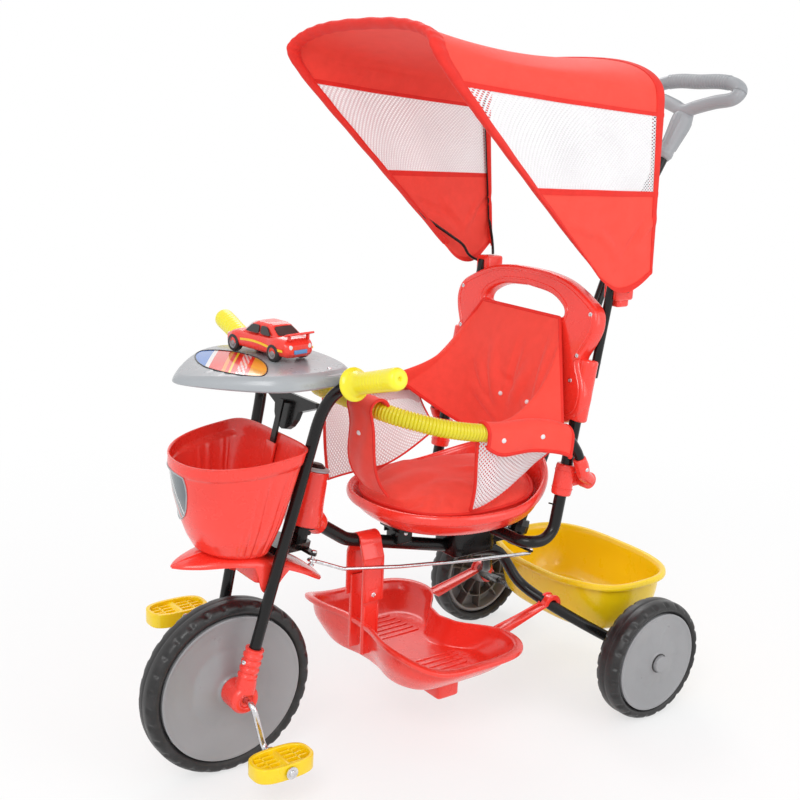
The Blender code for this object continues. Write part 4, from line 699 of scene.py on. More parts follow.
makePiece("front_tyre", [tyreShape(frontAxle, (1, 0, 0), frontWheel)], rubber, "front_wheel",
    ["front_wheel_tyre"], 50)
wheelDisc("front_disc", frontAxle, (1, 0, 0), frontWheel, 0.0065, "front_wheel", "front_wheel_disc", False)
for side, word in sides:
    centre = vec(side * rearWheel["x"], rearWheel["y"], rearWheel["radius"])
    body = word + "_rear_wheel"
    makePiece("rear_tyre_" + word, [tyreShape(centre, (side, 0, 0), rearWheel)], rubber, body,
        ["rear_wheel_%s_tyre" % word], 50)
    wheelDisc("rear_disc_" + word, centre, (side, 0, 0), rearWheel, 0.004, body,
        "rear_wheel_%s_disc" % word, True)
    base = rearWheel["width"] / 2 * 0.9 + 0.0043
    cap = evenly(softCorners([(0, 0.0056), (0.011, 0.0056), (0.0124, 0.0054), (0.0131, 0.0042),
        (0.0132, 0.0)], 0.001, 4), 26)
    capRing = turnedShape([(0.015, 0.0001), (0.015, 0.0012), (0.0138, 0.0014), (0.0138, 0.0001)],
        centre + vec(side * (base - 0.0018), 0, 0), (side, 0, 0), 64, ring=True)
    makePiece("hub_cap_smooth_" + word,
        [turnedShape(np.vstack([cap, [(0, 0)]]), centre + vec(side * base, 0, 0), (side, 0, 0), 64),
        (*capRing, 1)], [discPlastic, darkPlastic], body, ["hub_cap_" + word], 30)
    # the red bush between the wheel and the leg
    bush = softCorners([(0.0054, -0.0352), (0.012, -0.0352), (0.0138, -0.0325), (0.0128, -0.0262),
        (0.0054, -0.0262)], 0.001, 3)
    makePiece("axle_bush_" + word, [turnedShape(bush, centre, (side, 0, 0), 48, ring=True)], redPlastic,
        body, (), 30)
print("wheels ready")

# Crank and pedals
pedalSize = {"width": 0.052, "length": 0.088, "thickness": 0.021, "reach": 0.128, "arm": 0.0625}
crankAngle = math.radians(192)
crankArm = vec(0, -math.sin(crankAngle) * pedalSize["arm"], math.cos(crankAngle) * pedalSize["arm"])


def cornered(points, reach):
    # a bent rod: soft corners, 120 even points
    return evenly(softCorners(points, reach, 9), 120)


def buildCrank():
    # one rod: pedal axle, arm, wheel axle, arm, pedal axle, with washers beside the pedals
    tip = pedalSize["reach"] + pedalSize["width"] / 2 + 0.004
    line = [frontAxle - crankArm - vec(tip, 0, 0), frontAxle - crankArm - vec(0.082, 0, 0), frontAxle
        - vec(0.076, 0, 0), frontAxle + vec(0.076, 0, 0), frontAxle + crankArm + vec(0.082, 0, 0), frontAxle
        + crankArm + vec(tip, 0, 0)]
    shapes = [pipeShape(cornered(line, 0.01), 0.0042, unit(np.cross(crankArm, (1, 0, 0))), 20,
        roundEnd=0.0012)]
    for side in (1, -1):
        for at in (0.098, 0.157):
            shapes.append(turnedShape([(0.0044, -0.0006), (0.0085, -0.0006), (0.0085, 0.0006),
                (0.0044, 0.0006)], frontAxle + crankArm * side + vec(side * at, 0, 0), (side, 0, 0), 32,
                ring=True))
    makePiece("crank_rod", shapes, steel, "front_wheel", ["crank"], 30)


def buildPedal(side, word):
    # a drum-shaped pedal: rounded side wall, windows either side of the barrel, small teeth on the rim
    middle = frontAxle + crankArm * side + vec(side * pedalSize["reach"], 0, 0)
    a, b, h = pedalSize["width"] / 2, pedalSize["length"] / 2, pedalSize["thickness"] / 2
    place = (middle, (1, 0, 0), (0, 1, 0), (0, 0, 1))
    outer = ovalOutline(a, b, 2.9, 96)
    wall = framePlate(outer, ovalOutline(a - 0.0055, b - 0.0055, 2.9, 96), h, 0.0014, place)
    shapes = [wall]
    barrel = softCorners([(0.0046, -a + 0.0008), (0.008, -a + 0.0008), (0.008, a - 0.0008),
        (0.0046, a - 0.0008)], 0.001, 3)
    shapes.append(turnedShape(barrel, middle, (1, 0, 0), 40, ring=True))
    for across in (-0.55, -0.18, 0.18, 0.55):
        rib = abs(across) > 0.3
        shapes.append(roundBox(middle + vec(a * across, 0, 0), (0.0012, b * (0.74 if rib else 0.9),
            h * 0.62), 0.0005))
    for along in (-0.5, 0.5):
        shapes.append(roundBox(middle + vec(0, b * along, 0), (a * 0.84, 0.0012, h * 0.62), 0.0005))
    ring = ovalOutline(a - 0.0028, b - 0.0028, 2.9, 34)
    for level in (h - 0.0004, -h + 0.0004):
        for x, y in ring:
            if abs(x) > a * 0.55:
                shapes.append(roundBox(middle + vec(x, y, level), (0.0011, 0.0011, 0.0005), 0.0004, None, 4))
    makePiece("pedal_shell_" + word, shapes, yellowPlastic, word + "_pedal", ["pedal_" + word], 32)


buildCrank()
for side, word in sides:
    buildPedal(side, word)
print("crank and pedals ready")

# Fork, bar ends, grips, fork ends
forkSize = {"tube": 0.008, "halfLow": 0.045, "halfHigh": 0.077, "height": 0.41, "foot": 0.024}
barZ = frontAxle[2] + steerUp[2] * (forkSize["height"] + 0.02)
barY = steerUp[1] * (forkSize["height"] + 0.02)
gripEnd = vec(0.226, barY + 0.01, barZ + 0.05)
gripStart = vec(forkSize["halfHigh"] + 0.03, barY + 0.006, barZ + 0.016)
gripWay = unit(gripEnd - gripStart)
gripSize = {"radius": 0.0145, "flange": 0.0225, "length": 0.1}


def buildFork(side, word):
    # one tube from the fork end up to the grip
    flip = np.array([side, 1, 1])
    low, high = onFork(side * forkSize["halfLow"], 0, forkSize["foot"]), onFork(side * forkSize["halfHigh"],
        0, forkSize["height"])
    line = cornered([low, high, gripStart * flip, (gripEnd - gripWay * 0.006) * flip], 0.03)
    makePiece("fork_tube_" + word, [pipeShape(line, forkSize["tube"], (0, -1, 0.2), 32)], blackPaint,
        "fork", ["fork_leg_" + word], 30)
    # grip: a disc flange, then a waisted handle with fine finger rings and a small vent in its end
    length, r, flange = gripSize["length"], gripSize["radius"], gripSize["flange"]
    line = softCorners([(0.0083, 0), (flange - 0.002, 0.0), (flange, 0.0025), (flange - 0.0015, 0.0058),
        (r + 0.0028, 0.0085), (r - 0.0008, 0.018), (r - 0.0006, length * 0.5), (r, length - 0.01),
        (r - 0.0005, length - 0.004), (r - 0.004, length), (0.0022, length), (0.002, length - 0.004),
        (0, length - 0.004)], 0.0028, 5)
    line = evenly(line, 150)

    def rings(rr, h, a):
        body = ease((h - 0.024) / 0.01) * ease((length - 0.014 - h) / 0.01) * (rr > r * 0.7)
        return rr - body * 0.0004 * (0.5 + 0.5 * np.cos(tau * h / 0.0062)), h
    shell = turnedShape(line, (gripEnd - gripWay * length) * flip, gripWay * flip, 96, wobble=rings)
    makePiece("grip_shell_" + word, [shell], lemonPlastic, "fork", ["grip_" + word], 40)
    # fork end: a ribbed sleeve on the tube, grown into a round knob over the axle
    way = unit(high - low)
    foot = low - way * (forkSize["foot"] - 0.014)
    ribs = [(0, 0), (0.0128, 0.0)]
    for k in range(5):
        at = 0.006 + 0.0098 * k
        ribs += [(0.0136, at), (0.0138, at + 0.0042), (0.012, at + 0.0056), (0.012, at + 0.0088)]
    ribs += [(0.0132, 0.056), (0.013, 0.058), (0.0084, 0.058)]
    sleeve = turnedShape(softCorners(ribs, 0.0009, 3), foot, way, 72)
    inner = 0.0192 if side > 0 else 0.0238
    outer = forkSize["halfLow"] + 0.0135
    knob = softCorners([(0.0046, inner), (0.018, inner), (0.0203, inner + 0.0035), (0.0205, outer - 0.006),
        (0.0165, outer), (0.01, outer), (0.009, outer - 0.004), (0.0046, outer - 0.004)], 0.0022, 4)
    hub = turnedShape(knob, frontAxle, (side, 0, 0), 80, ring=True)
    neck = [onFork(side * (forkSize["halfLow"] + 0.001), 0, 0.01),
        onFork(side * (forkSize["halfLow"] + 0.002), 0, 0.03)]
    web = pipeShape(evenly(neck, 6), [0.015, 0.0148, 0.0144, 0.014, 0.0134, 0.0128], (1, 0, 0), 40)
    screwAt = foot + way * 0.038 + steerFront * 0.0133 + vec(side * 0.003, 0, 0)
    screw = screwShape(screwAt, steerFront + vec(side * 0.25, 0, 0), 0.0034)
    makePiece("fork_end_shell_" + word, [sleeve, hub, web, screw], [redPlastic, steel], "fork",
        ["fork_end_" + word], 32)


for side, word in sides:
    buildFork(side, word)
for name in ("steering_stem", "stem_plate", "head_tube", "seat_bracket", "pole_hub", "rear_axle"):
    look = steel if name == "rear_axle" else blackPaint
    nodes[name].data.materials.clear()
    nodes[name].data.materials.append(look)
print("fork ready")

# Console over the handlebar
console = {"half": 0.11, "middleY": 0.03, "sticker": (0.0, 0.0035), "stickerTurn": 0,
    "stickerHalf": (0.083, 0.036)}
consoleZ = barZ + 0.0195


def printedSticker(name, base, accents):
    # a glossy printed label: slanted speed stripes on a ground colour, with a row of small chequers
    look, tree, shader, place = linkedNodes(name)
    split = tree.nodes.new("ShaderNodeSeparateXYZ")
    tree.links.new(place.outputs["UV"], split.inputs["Vector"])
    slant = mathNode(tree, "ADD", split.outputs["X"], mathNode(tree, "MULTIPLY", split.outputs["Y"], 0.6))
    shade = base
    for low, high, colour in accents:
        inside = mathNode(tree, "MULTIPLY", mathNode(tree, "GREATER_THAN", slant, low),
            mathNode(tree, "LESS_THAN", slant, high))
        shade = blendNode(tree, inside, shade, colour)
    cell = mathNode(tree, "MULTIPLY", mathNode(tree, "SINE", mathNode(tree, "MULTIPLY", split.outputs["X"],
        42.0)), mathNode(tree, "SINE", mathNode(tree, "MULTIPLY", split.outputs["Y"], 42.0)))
    band = mathNode(tree, "MULTIPLY", mathNode(tree, "GREATER_THAN", slant, 0.28),
        mathNode(tree, "LESS_THAN", slant, 0.52))
    shade = blendNode(tree, mathNode(tree, "MULTIPLY", band, mathNode(tree, "GREATER_THAN", cell, 0.0)),
        shade, (0.8, 0.8, 0.8))
    tree.links.new(shade, shader.inputs["Base Color"])
    setSockets(shader, {"Roughness": 0.18, "Coat Weight": 0.5})
    bumpNode(tree, shader, noiseNode(tree, place, 300.0, 2.0), 0.04, 0.0003)
    return look


def consoleTop(x, y):
    # the dome: highest in the middle, falling off with the square of the distance
    r = np.sqrt((x / 0.118) ** 2 + ((y - 0.035) / 0.12) ** 2)
    nose = np.clip((0.03 + 0.1 * np.abs(x) - y) / 0.1, 0, 1)
    return consoleZ + 0.0195 - 0.0052 * np.clip(r, 0, 1.05) ** 2.6 - 0.01 * nose ** 1.5


def buildConsole():
    # the outline shrunk ring by ring towards its middle and lifted to the dome
    half = [(0, -0.0775), (0.02, -0.07), (0.06, -0.038), (0.096, 0.0), (console["half"], 0.03),
        (0.111, 0.06), (0.107, 0.088), (0.099, 0.118), (0.084, 0.14), (0.05, 0.15), (0, 0.152)]
    outline = evenly(softCorners(mirroredOutline(half), 0.03, 7, closed=True), 220, closed=True)
    middle = np.array([0, console["middleY"]])
    rows = []
    for share, part in ((0.86, 0.3), (0.94, 0.0), (0.966, -0.02), (0.99, 0.05), (1.0, 0.14), (0.997, 0.28),
            (0.987, 0.5), (0.966, 0.74), (0.94, 0.9)):
        flat = middle + (outline - middle) * share
        top = consoleTop(flat[:, 0], flat[:, 1])
        rows.append(np.column_stack([flat, consoleZ - 0.0044 + (top - consoleZ + 0.0044) * part]))
    for share in (0.905, 0.9, 0.84, 0.76, 0.66, 0.54, 0.42, 0.3, 0.18, 0.08, 0.0):
        flat = middle + (outline - middle) * share
        rows.append(np.column_stack([flat, consoleTop(flat[:, 0], flat[:, 1])]))
    # the leaf-shaped place for the label is sunk by under a millimetre, with a dark line round it
    grid = np.stack(rows)
    a = math.radians(console["stickerTurn"])
    c = np.array(console["sticker"])
    d = grid[..., :2] - c
    along = (d[..., 0] * math.cos(a) + d[..., 1] * math.sin(a)) / console["stickerHalf"][0]
    across = (-d[..., 0] * math.sin(a) + d[..., 1] * math.cos(a)) / console["stickerHalf"][1]
    grid[9:, :, 2] -= 0.0008 * (np.abs(along[9:]) ** 1.7 + np.abs(across[9:]) ** 1.5 < 1.02)
    shell = gridShape(grid, wrapV=True, capStart=True)
    shapes = [shell]
    for side in (1, -1):
        shapes.append(screwShape(vec(side * 0.086, 0.1, consoleTop(np.array(side * 0.086), np.array(0.1))
            + 0.0002), (0, 0, 1), 0.003))
    makePiece("console_shell", shapes, [greyPlastic, steel], "fork", ["console"], 35)
    # underside lugs that hold it on the two tubes
    for side, word in sides:
        lug = roundBox(vec(side * 0.093, 0.092, consoleZ + 0.003), (0.012, 0.022, 0.0075), 0.003)
        makePiece("console_lug_" + word, [lug], greyPlastic, "fork", (), 35)
    # the label and its dark rim
    rho = np.linspace(0, 1, 14)[:, None]
    phi = angles(96)[None, :]
    co, si = np.cos(phi), np.sin(phi)
    lx = rho * curve(co, 2 / 1.7) * console["stickerHalf"][0]
    ly = rho * curve(si, 2 / 1.5) * console["stickerHalf"][1]
    x, y = c[0] + lx * math.cos(a) - ly * math.sin(a), c[1] + lx * math.sin(a) + ly * math.cos(a)
    top = np.stack([x, y, consoleTop(x, y) - 0.0002], -1)
    under = top[::-1] - [0, 0, 0.0009]
    label = makePiece("console_label", [gridShape(np.concatenate([top, under]), wrapV=True)],
        printedSticker("console label", (0.8, 0.03, 0.018),
        [(-9, -0.62, (0.05, 0.2, 0.62)), (-0.62, -0.5, (0.8, 0.8, 0.8)), (-0.12, -0.02, (0.9, 0.3, 0.02)),
        (0.08, 0.14, (0.93, 0.62, 0.02)), (0.62, 9, (0.9, 0.42, 0.03))]), "fork", (), 40, 1e-6)
    mapped(label, lambda p: np.stack([((p[:, 0] - c[0]) * math.cos(a) + (p[:, 1] - c[1]) * math.sin(a))
        / console["stickerHalf"][0], (-(p[:, 0] - c[0]) * math.sin(a) + (p[:, 1] - c[1]) * math.cos(a))
        / console["stickerHalf"][1]], 1))
    edge = top[-1] + [0, 0, 0.0001]
    makePiece("label_rim", [pipeShape(edge, 0.0009, (0, 0, 1), 8, closed=True)], blackPaint, "fork")


# Toy car on the console: a plain two-door coupe
toyCar = {"place": (-0.012, 0.066), "turn": -82, "scale": 1.24, "halfWidth": 0.0205, "wheel": 0.0092,
    "axles": (-0.034, 0.034)}


def buildToyCar():
    # cross-sections along the car, windows and trim set on them, then all of it scaled
    turn = math.radians(toyCar["turn"])
    carY, carX = vec(-math.sin(turn), math.cos(turn), 0), vec(math.cos(turn), math.sin(turn), 0)
    origin = vec(*toyCar["place"], consoleZ + 0.019)
    place = (origin, carX, carY, vec(0, 0, 1))

    def at(x, y, z):
        # a point of the car in its own axes
        return placed(np.array([x, y]), np.array(z), place)

    def body(t, lowZ, topZ, wide, power, count=48):
        # cross-sections along the car: superellipses between a floor line and a roof line
        a = angles(count)
        c, s = np.cos(a), np.sin(a)
        x = wide[:, None] * curve(c, 2 / power)
        z = (lowZ + topZ)[:, None] / 2 + (topZ - lowZ)[:, None] / 2 * curve(s, 2 / power)
        flat = np.stack([x, np.broadcast_to(t[:, None], x.shape)], -1)
        return skin(placed(flat, z, place))
    half, r = toyCar["halfWidth"], toyCar["wheel"]
    t = np.linspace(-0.054, 0.054, 60)
    line = lambda xs, ys: np.interp(t, xs, ys)
    top = line([-0.054, -0.05, -0.04, -0.018, 0.03, 0.048, 0.054], [0.0125, 0.0185, 0.0215, 0.024, 0.025,
        0.0245, 0.019])
    low = line([-0.054, -0.05, 0.05, 0.054], [0.0095, 0.005, 0.005, 0.009])
    wide = line([-0.054, -0.049, -0.036, 0.04, 0.051, 0.054], [0.012, 0.018, half, half, 0.0185, 0.015])
    for axle in toyCar["axles"]:  # arches swell round the wheels
        wide = wide + 0.0012 * bump((t - axle) / 0.013)
        top = top + 0.0014 * bump((t - axle) / 0.016)
    lower = body(t, low, top, wide, 4.2)
    t = np.linspace(-0.024, 0.038, 50)
    line = lambda xs, ys: np.interp(t, xs, ys)
    roof = line([-0.024, -0.008, -0.002, 0.016, 0.022, 0.038], [0.0222, 0.0352, 0.0375, 0.0372, 0.035,
        0.0245])
    cabin = body(t, np.full(50, 0.02), roof, line([-0.024, -0.006, 0.018, 0.038],
        [0.0178, 0.015, 0.015, 0.0175]), 4.6)

    def pane(t0, t1, z0, z1, x0, x1, look):
        # a slightly proud four-cornered window
        q = np.array([[x0[0], t0[0], z0], [x0[1], t0[1], z0], [x1[1], t1[1], z1], [x1[0], t1[0], z1]], float)
        n = unit(np.cross(q[1] - q[0], q[3] - q[0]))
        rows = np.stack([evenly(softCorners(q, 0.003, 5, closed=True), 40, closed=True) + n * k
            for k in (-0.0006, 0.0004, 0.0007)])
        grid = placed(rows[..., :2], rows[..., 2], place)
        return (*skin(grid), look)
    shapes = [lower, cabin]
    shapes.append(pane((-0.0232, -0.0232), (-0.01, -0.01), 0.0236, 0.0346, (-0.014, 0.014),
        (-0.0118, 0.0118), 1))
    shapes.append(pane((0.035, 0.035), (0.024, 0.024), 0.0262, 0.0338, (0.0138, -0.0138), (0.0116, -0.0116),
        2))
    for s in (1, -1):
        for t0, t1, x0, x1 in (((-0.0165, 0.0055), (-0.0062, 0.0055), (0.0176, 0.0172), (0.0158, 0.0156)),
                ((0.0085, 0.026), (0.0085, 0.0185), (0.0172, 0.0176), (0.0156, 0.0158))):
            shapes.append(pane(t0[::s], t1[::s], 0.025, 0.0338, [s * q for q in x0], [s * q for q in x1], 2))
        stripe = np.stack([np.linspace(-0.022, 0.049, 30), 0.015 + 0.0016 * np.sin(np.linspace(0, 5, 30))],
            1)
        band = np.stack([placed(np.column_stack([np.full(30, s * (half + 0.0007)), stripe[:, 0]]),
            stripe[:, 1] + k, place) for k in (-0.0012, 0.0012)])
        inner = band - carX * s * 0.0012
        ring = np.stack([band[0], band[1], inner[1], inner[0]], 1)
        shapes.append((*skin(ring), 3))
        shapes.append((*turnedShape([(0, 0.0008), (0.0022, 0.0006), (0.0026, -0.001), (0, -0.001)],
            at(s * 0.0125, 0.0535, 0.017), carY, 20), 1))
        shapes.append((*turnedShape([(0, 0.001), (0.002, 0.0008), (0.0024, -0.002), (0, -0.002)],
            at(s * 0.012, -0.053, 0.015), -carY, 20), 1))
    shapes.append((*roundBox(at(0, 0.0545, 0.0118), (0.0085, 0.0009, 0.0022), 0.0006,
        (carX, carY, vec(0, 0, 1))), 6))
    for s in (0.6, -0.6):
        shapes.append((roundBox(at(half * s, 0.0505, 0.0265), (0.001, 0.0022, 0.003), 0.0006,
            (carX, carY, vec(0, 0, 1)))))
    wing = roundBox(at(0, 0.052, 0.03), (half * 0.88, 0.0042, 0.0011), 0.0008,
        (carX, unit(carY + vec(0, 0, 0.35)), unit(vec(0, 0, 1) - carY * 0.35)))
    shapes.append(wing)
    for axle in toyCar["axles"]:
        for s in (1, -1):
            hub = placed(np.array([s * (half - 0.0062), axle]), np.array(r), place)
            tyre = softCorners([(r * 0.66, 0.0), (r, 0.0), (r, 0.0078), (r * 0.66, 0.008)], 0.0012, 4)
            shapes.append((*turnedShape(tyre, hub, carX * s, 40, ring=True), 4))
            shapes.append(
                (*turnedShape([(0, 0.0078), (r * 0.25, 0.0078), (r * 0.34, 0.0066), (r * 0.58, 0.0062),
                (r * 0.67, 0.0078), (r * 0.67, 0.001), (0, 0.001)], hub, carX * s, 40), 5))
    shapes = [(origin + (shape[0] - origin) * toyCar["scale"], *shape[1:]) for shape in shapes]
    makePiece("toy_car_body", shapes, [redPlastic, whitePlastic, darkPlastic, yellowPlastic, rubber,
        discPlastic, mouldedPlastic("blue plate plastic", (0.1, 0.3, 0.62), 0.3)], "fork", ["toy_car"], 40)


# Front basket
tubSize = {"wall": 0.0026, "around": 360, "rows": 60}
tubLine = np.array([(0.198, 0.034, 0.06, 0.012), (0.2005, 0.044, 0.074, 0.013),
    (0.207, 0.053, 0.086, 0.015), (0.228, 0.0635, 0.1, 0.022), (0.255, 0.074, 0.114, 0.03),
    (0.3, 0.0842, 0.1335, 0.042), (0.339, 0.0915, 0.147, 0.0505), (0.3425, 0.0945, 0.1495, 0.0515),
    (0.347, 0.0965, 0.151, 0.053), (0.36, 0.098, 0.153, 0.056)])


def tubSurface(angle, share, out=0.0):
    # square at the fork, round ahead: superellipse halves whose size and droop follow the wall line
    k = np.clip(share, 0, 1) * (len(tubLine) - 1)
    up, half, depth, drop = (np.interp(k, np.arange(len(tubLine)), tubLine[:, i]) for i in range(4))
    c, s = np.cos(angle), np.sin(angle)
    power = np.where(s > 0, 0.42, 0.92)
    half, depth = half + out, depth + out * 2
    x = half * curve(c, power)
    ahead = forkSize["tube"] + 0.001 - out + depth * 0.3 - depth * np.where(s > 0, 0.3, 0.7) * curve(s,
        power)
    # upright flutes on each flank, beside the fork, that lean with the wall
    turn = np.arctan2(s, np.abs(c))
    flute = bump((turn + 0.1 - 0.25 * (share - 0.4)) / 0.46)
    lines = np.abs(np.sin(turn * 21)) ** 3 * flute * ease((share - 0.1) / 0.1) * ease((0.7 - share) / 0.12)
    x = x - np.sign(c) * 0.002 * lines
    grid = frontAxle + vec(1, 0, 0) * x[..., None] + steerFront * ahead[..., None] + steerUp * up[..., None]
    grid[..., 2] -= drop * np.clip(ahead, 0, None) / depth
    return grid


def buildBasket():
    # outer wall, rolled rim and inner wall as one grid, then the badge laid on the front
    a = angles(tubSize["around"])[None, :]
    v = np.linspace(0, 1, tubSize["rows"])[:, None]
    outer = tubSurface(a + 0 * v, v + 0 * a)
    rim = [tubSurface(a, np.ones(a.shape), o) + steerUp * h for o, h in ((0.001, 0.0006), (0.0008, 0.0022),
        (-0.0006, 0.003), (-0.0022, 0.0024))]
    inner = tubSurface(a + 0 * v, v[::-1] + 0 * a, -tubSize["wall"]) + steerUp * tubSize["wall"] * (1
        - v[::-1, :, None])
    grid = np.concatenate([outer] + rim + [inner])
    shapes = [skin(grid)]
    # a raised arch line inside the rear wall, and the hook pad that hangs on the strap
    w = np.linspace(-1, 1, 40)
    arch = np.stack([0.052 * w, 0 * w, 0.31 - 0.062 * np.abs(w) ** 3.0], 1)
    archLine = frontAxle + vec(1, 0, 0) * arch[:, :1] + steerFront * (forkSize["tube"]
        + 0.0065) + steerUp * arch[:, 2:]
    shapes.append(pipeShape(archLine, 0.0022, (0, 1, 0), 10))
    shapes.append(roundBox(onFork(0, forkSize["tube"] + 0.007, 0.325), (0.012, 0.0022, 0.02), 0.0015,
        (vec(1, 0, 0), steerFront, steerUp)))
    makePiece("front_basket_tub", shapes, redPlastic, "fork", ["front_basket"], 35)
    # plain oval badge with a rim, on the front of the tub
    rho = np.linspace(0, 1, 12)[:, None]
    phi = angles(72)[None, :]
    angle, share = -math.pi / 2 - 0.3 + 0.5 * rho * np.cos(phi), 0.6 + 0.155 * rho * np.sin(phi)
    face = tubSurface(angle, share, 0.0009)
    back = tubSurface(angle, share, 0.0001)[::-1]
    badge = makePiece("basket_badge", [gridShape(np.concatenate([face, back]), wrapV=True)],
        printedSticker("basket badge", (0.085, 0.115, 0.13), [(-0.55, -0.42, (0.55, 0.56, 0.58)),
        (-0.3, -0.05, (0.6, 0.06, 0.04)), (0.02, 0.1, (0.55, 0.56, 0.58))]), "fork", (), 40, 1e-6)
    centre = tubSurface(np.array([-math.pi / 2 - 0.3]), np.array([0.6]), 0.0009)[0]
    mapped(badge, lambda p: np.stack([(p - centre) @ vec(1, 0, 0) / 0.03, (p - centre) @ steerUp / 0.03], 1))
    makePiece("badge_rim", [pipeShape(face[-1], 0.001, (0, 0, 1), 8, closed=True)], greyPlastic, "fork")


# Mudguard over the front wheel
guardSize = {"half": 0.049, "wall": 0.0024, "crown": 0.0075, "ridge": 0.0022, "edge": 0.0055}


def buildMudguard():
    # a leaf-shaped roof along the wheel, its edge turned down: half width h (1 - |t|^p)^q,
    # with p, q = 2.1, 0.72 ahead of the middle and 4, 0.5 behind it
    t = np.linspace(-1, 1, 90)[:, None]
    wide = (guardSize["half"] - 0.0002) * np.clip(1 - np.abs(t) ** np.where(t < 0, 2.1, 4.0), 0.01,
        1) ** np.where(t < 0, 0.72, 0.5) * (1 - 0.3 * (t > 0) * t)
    w = np.linspace(-1, 1, 41)[None, :]
    crown = guardSize["crown"] * (1 - np.abs(w) ** 2.2) + guardSize["ridge"] * bump(w / 0.1)
    crown = crown - guardSize["edge"] * np.clip((np.abs(w) - 0.86) / 0.14, 0, 1) ** 1.6
    crown = crown * np.clip(wide / guardSize["half"], 0.1, 1)
    line = smoothLine([(0, -0.082, 0.315), (0, -0.054, 0.318), (0, -0.01, 0.32), (0, 0.045, 0.311),
        (0, 0.094, 0.29), (0, 0.134, 0.264), (0, 0.146, 0.255)], 12)
    base = evenly(line, 90)[:, None, :]
    along = unit(np.gradient(base[:, 0, :], axis=0))
    out = np.stack([0 * along[:, 0], -along[:, 2], along[:, 1]], -1)[:, None, :]
    top = base + out * crown[..., None] + np.stack([wide * w, 0 * wide * w, 0 * wide * w], -1)
    under = top - out * guardSize["wall"]
    grid = np.concatenate([top, under[:, ::-1]], 1)
    shapes = [skin(grid)]
    spread, rise = forkSize["halfHigh"] - forkSize["halfLow"], forkSize["height"] - forkSize["foot"]
    legX = forkSize["halfLow"] + spread * (0.185 - forkSize["foot"]) / rise
    for side in (1, -1):
        # skirts that run down the inside of each leg, and a clamp block round it
        x = side * (legX - forkSize["tube"] - 0.003)
        skirt = [(-0.03, 0.004), (0.03, 0.004), (0.02, -0.01), (0.01, -0.03), (0.004, -0.034),
            (-0.004, -0.034), (-0.01, -0.03), (-0.02, -0.01)]
        outline = evenly(softCorners(skirt, 0.007, 5, closed=True), 60, closed=True)
        shapes.append(plateShape(outline, roundedLevels(-0.0014, 0.0014, 0.0007, 3),
            (onFork(x, 0, 0.182), -steerFront, steerUp, vec(1, 0, 0))))
    shapes.append(roundBox(onFork(0, 0, 0.1655), (0.03, 0.011, 0.01), 0.003,
        (vec(1, 0, 0), steerFront, steerUp)))
    makePiece("mudguard_shell", shapes, redPlastic, "fork", ["mudguard"], 40)


buildConsole()
buildToyCar()
buildBasket()
buildMudguard()
print("console, basket and mudguard ready")

# Frame tubes
frameSize = {"main": 0.0098, "lowZ": 0.2335, "slope": 0.243, "rearY": 0.47, "leg": 0.0085,
    "steerOffset": 0.064, "headLow": 0.222, "headLength": 0.078, "hookY": 0.5225, "hookZ": 0.158}


def mainPoint(y, x=0.0):
    # on the straight part of the main tube: z = lowZ + (rearY - y) slope
    return vec(x, y, frameSize["lowZ"] + (frameSize["rearY"] - y) * frameSize["slope"])


def arcLine(points, bend, samples=13):
    # straight runs joined by true arcs of the bend radius, as a tube bender leaves them
    pts = np.asarray(points, float)
    route = [pts[:1]]
    for b, c, d in zip(pts, pts[1:], pts[2:]):
        into, out = unit(b - c), unit(d - c)
        half = math.acos(np.clip(np.dot(into, out), -1, 1)) / 2
        reach = min(bend / math.tan(half), 0.48 * np.linalg.norm(b - c), 0.48 * np.linalg.norm(d - c))
        radius = reach * math.tan(half)
        middle = c + unit(into + out) * (radius / math.sin(half))
        p, q = c + into * reach - middle, c + out * reach - middle
        sweep = math.pi - 2 * half
        t = np.linspace(0, 1, samples)[:, None]
        route.append(middle + (p * np.sin((1 - t) * sweep) + q * np.sin(t * sweep)) / math.sin(sweep))
    route.append(pts[-1:])
    return np.vstack(route)


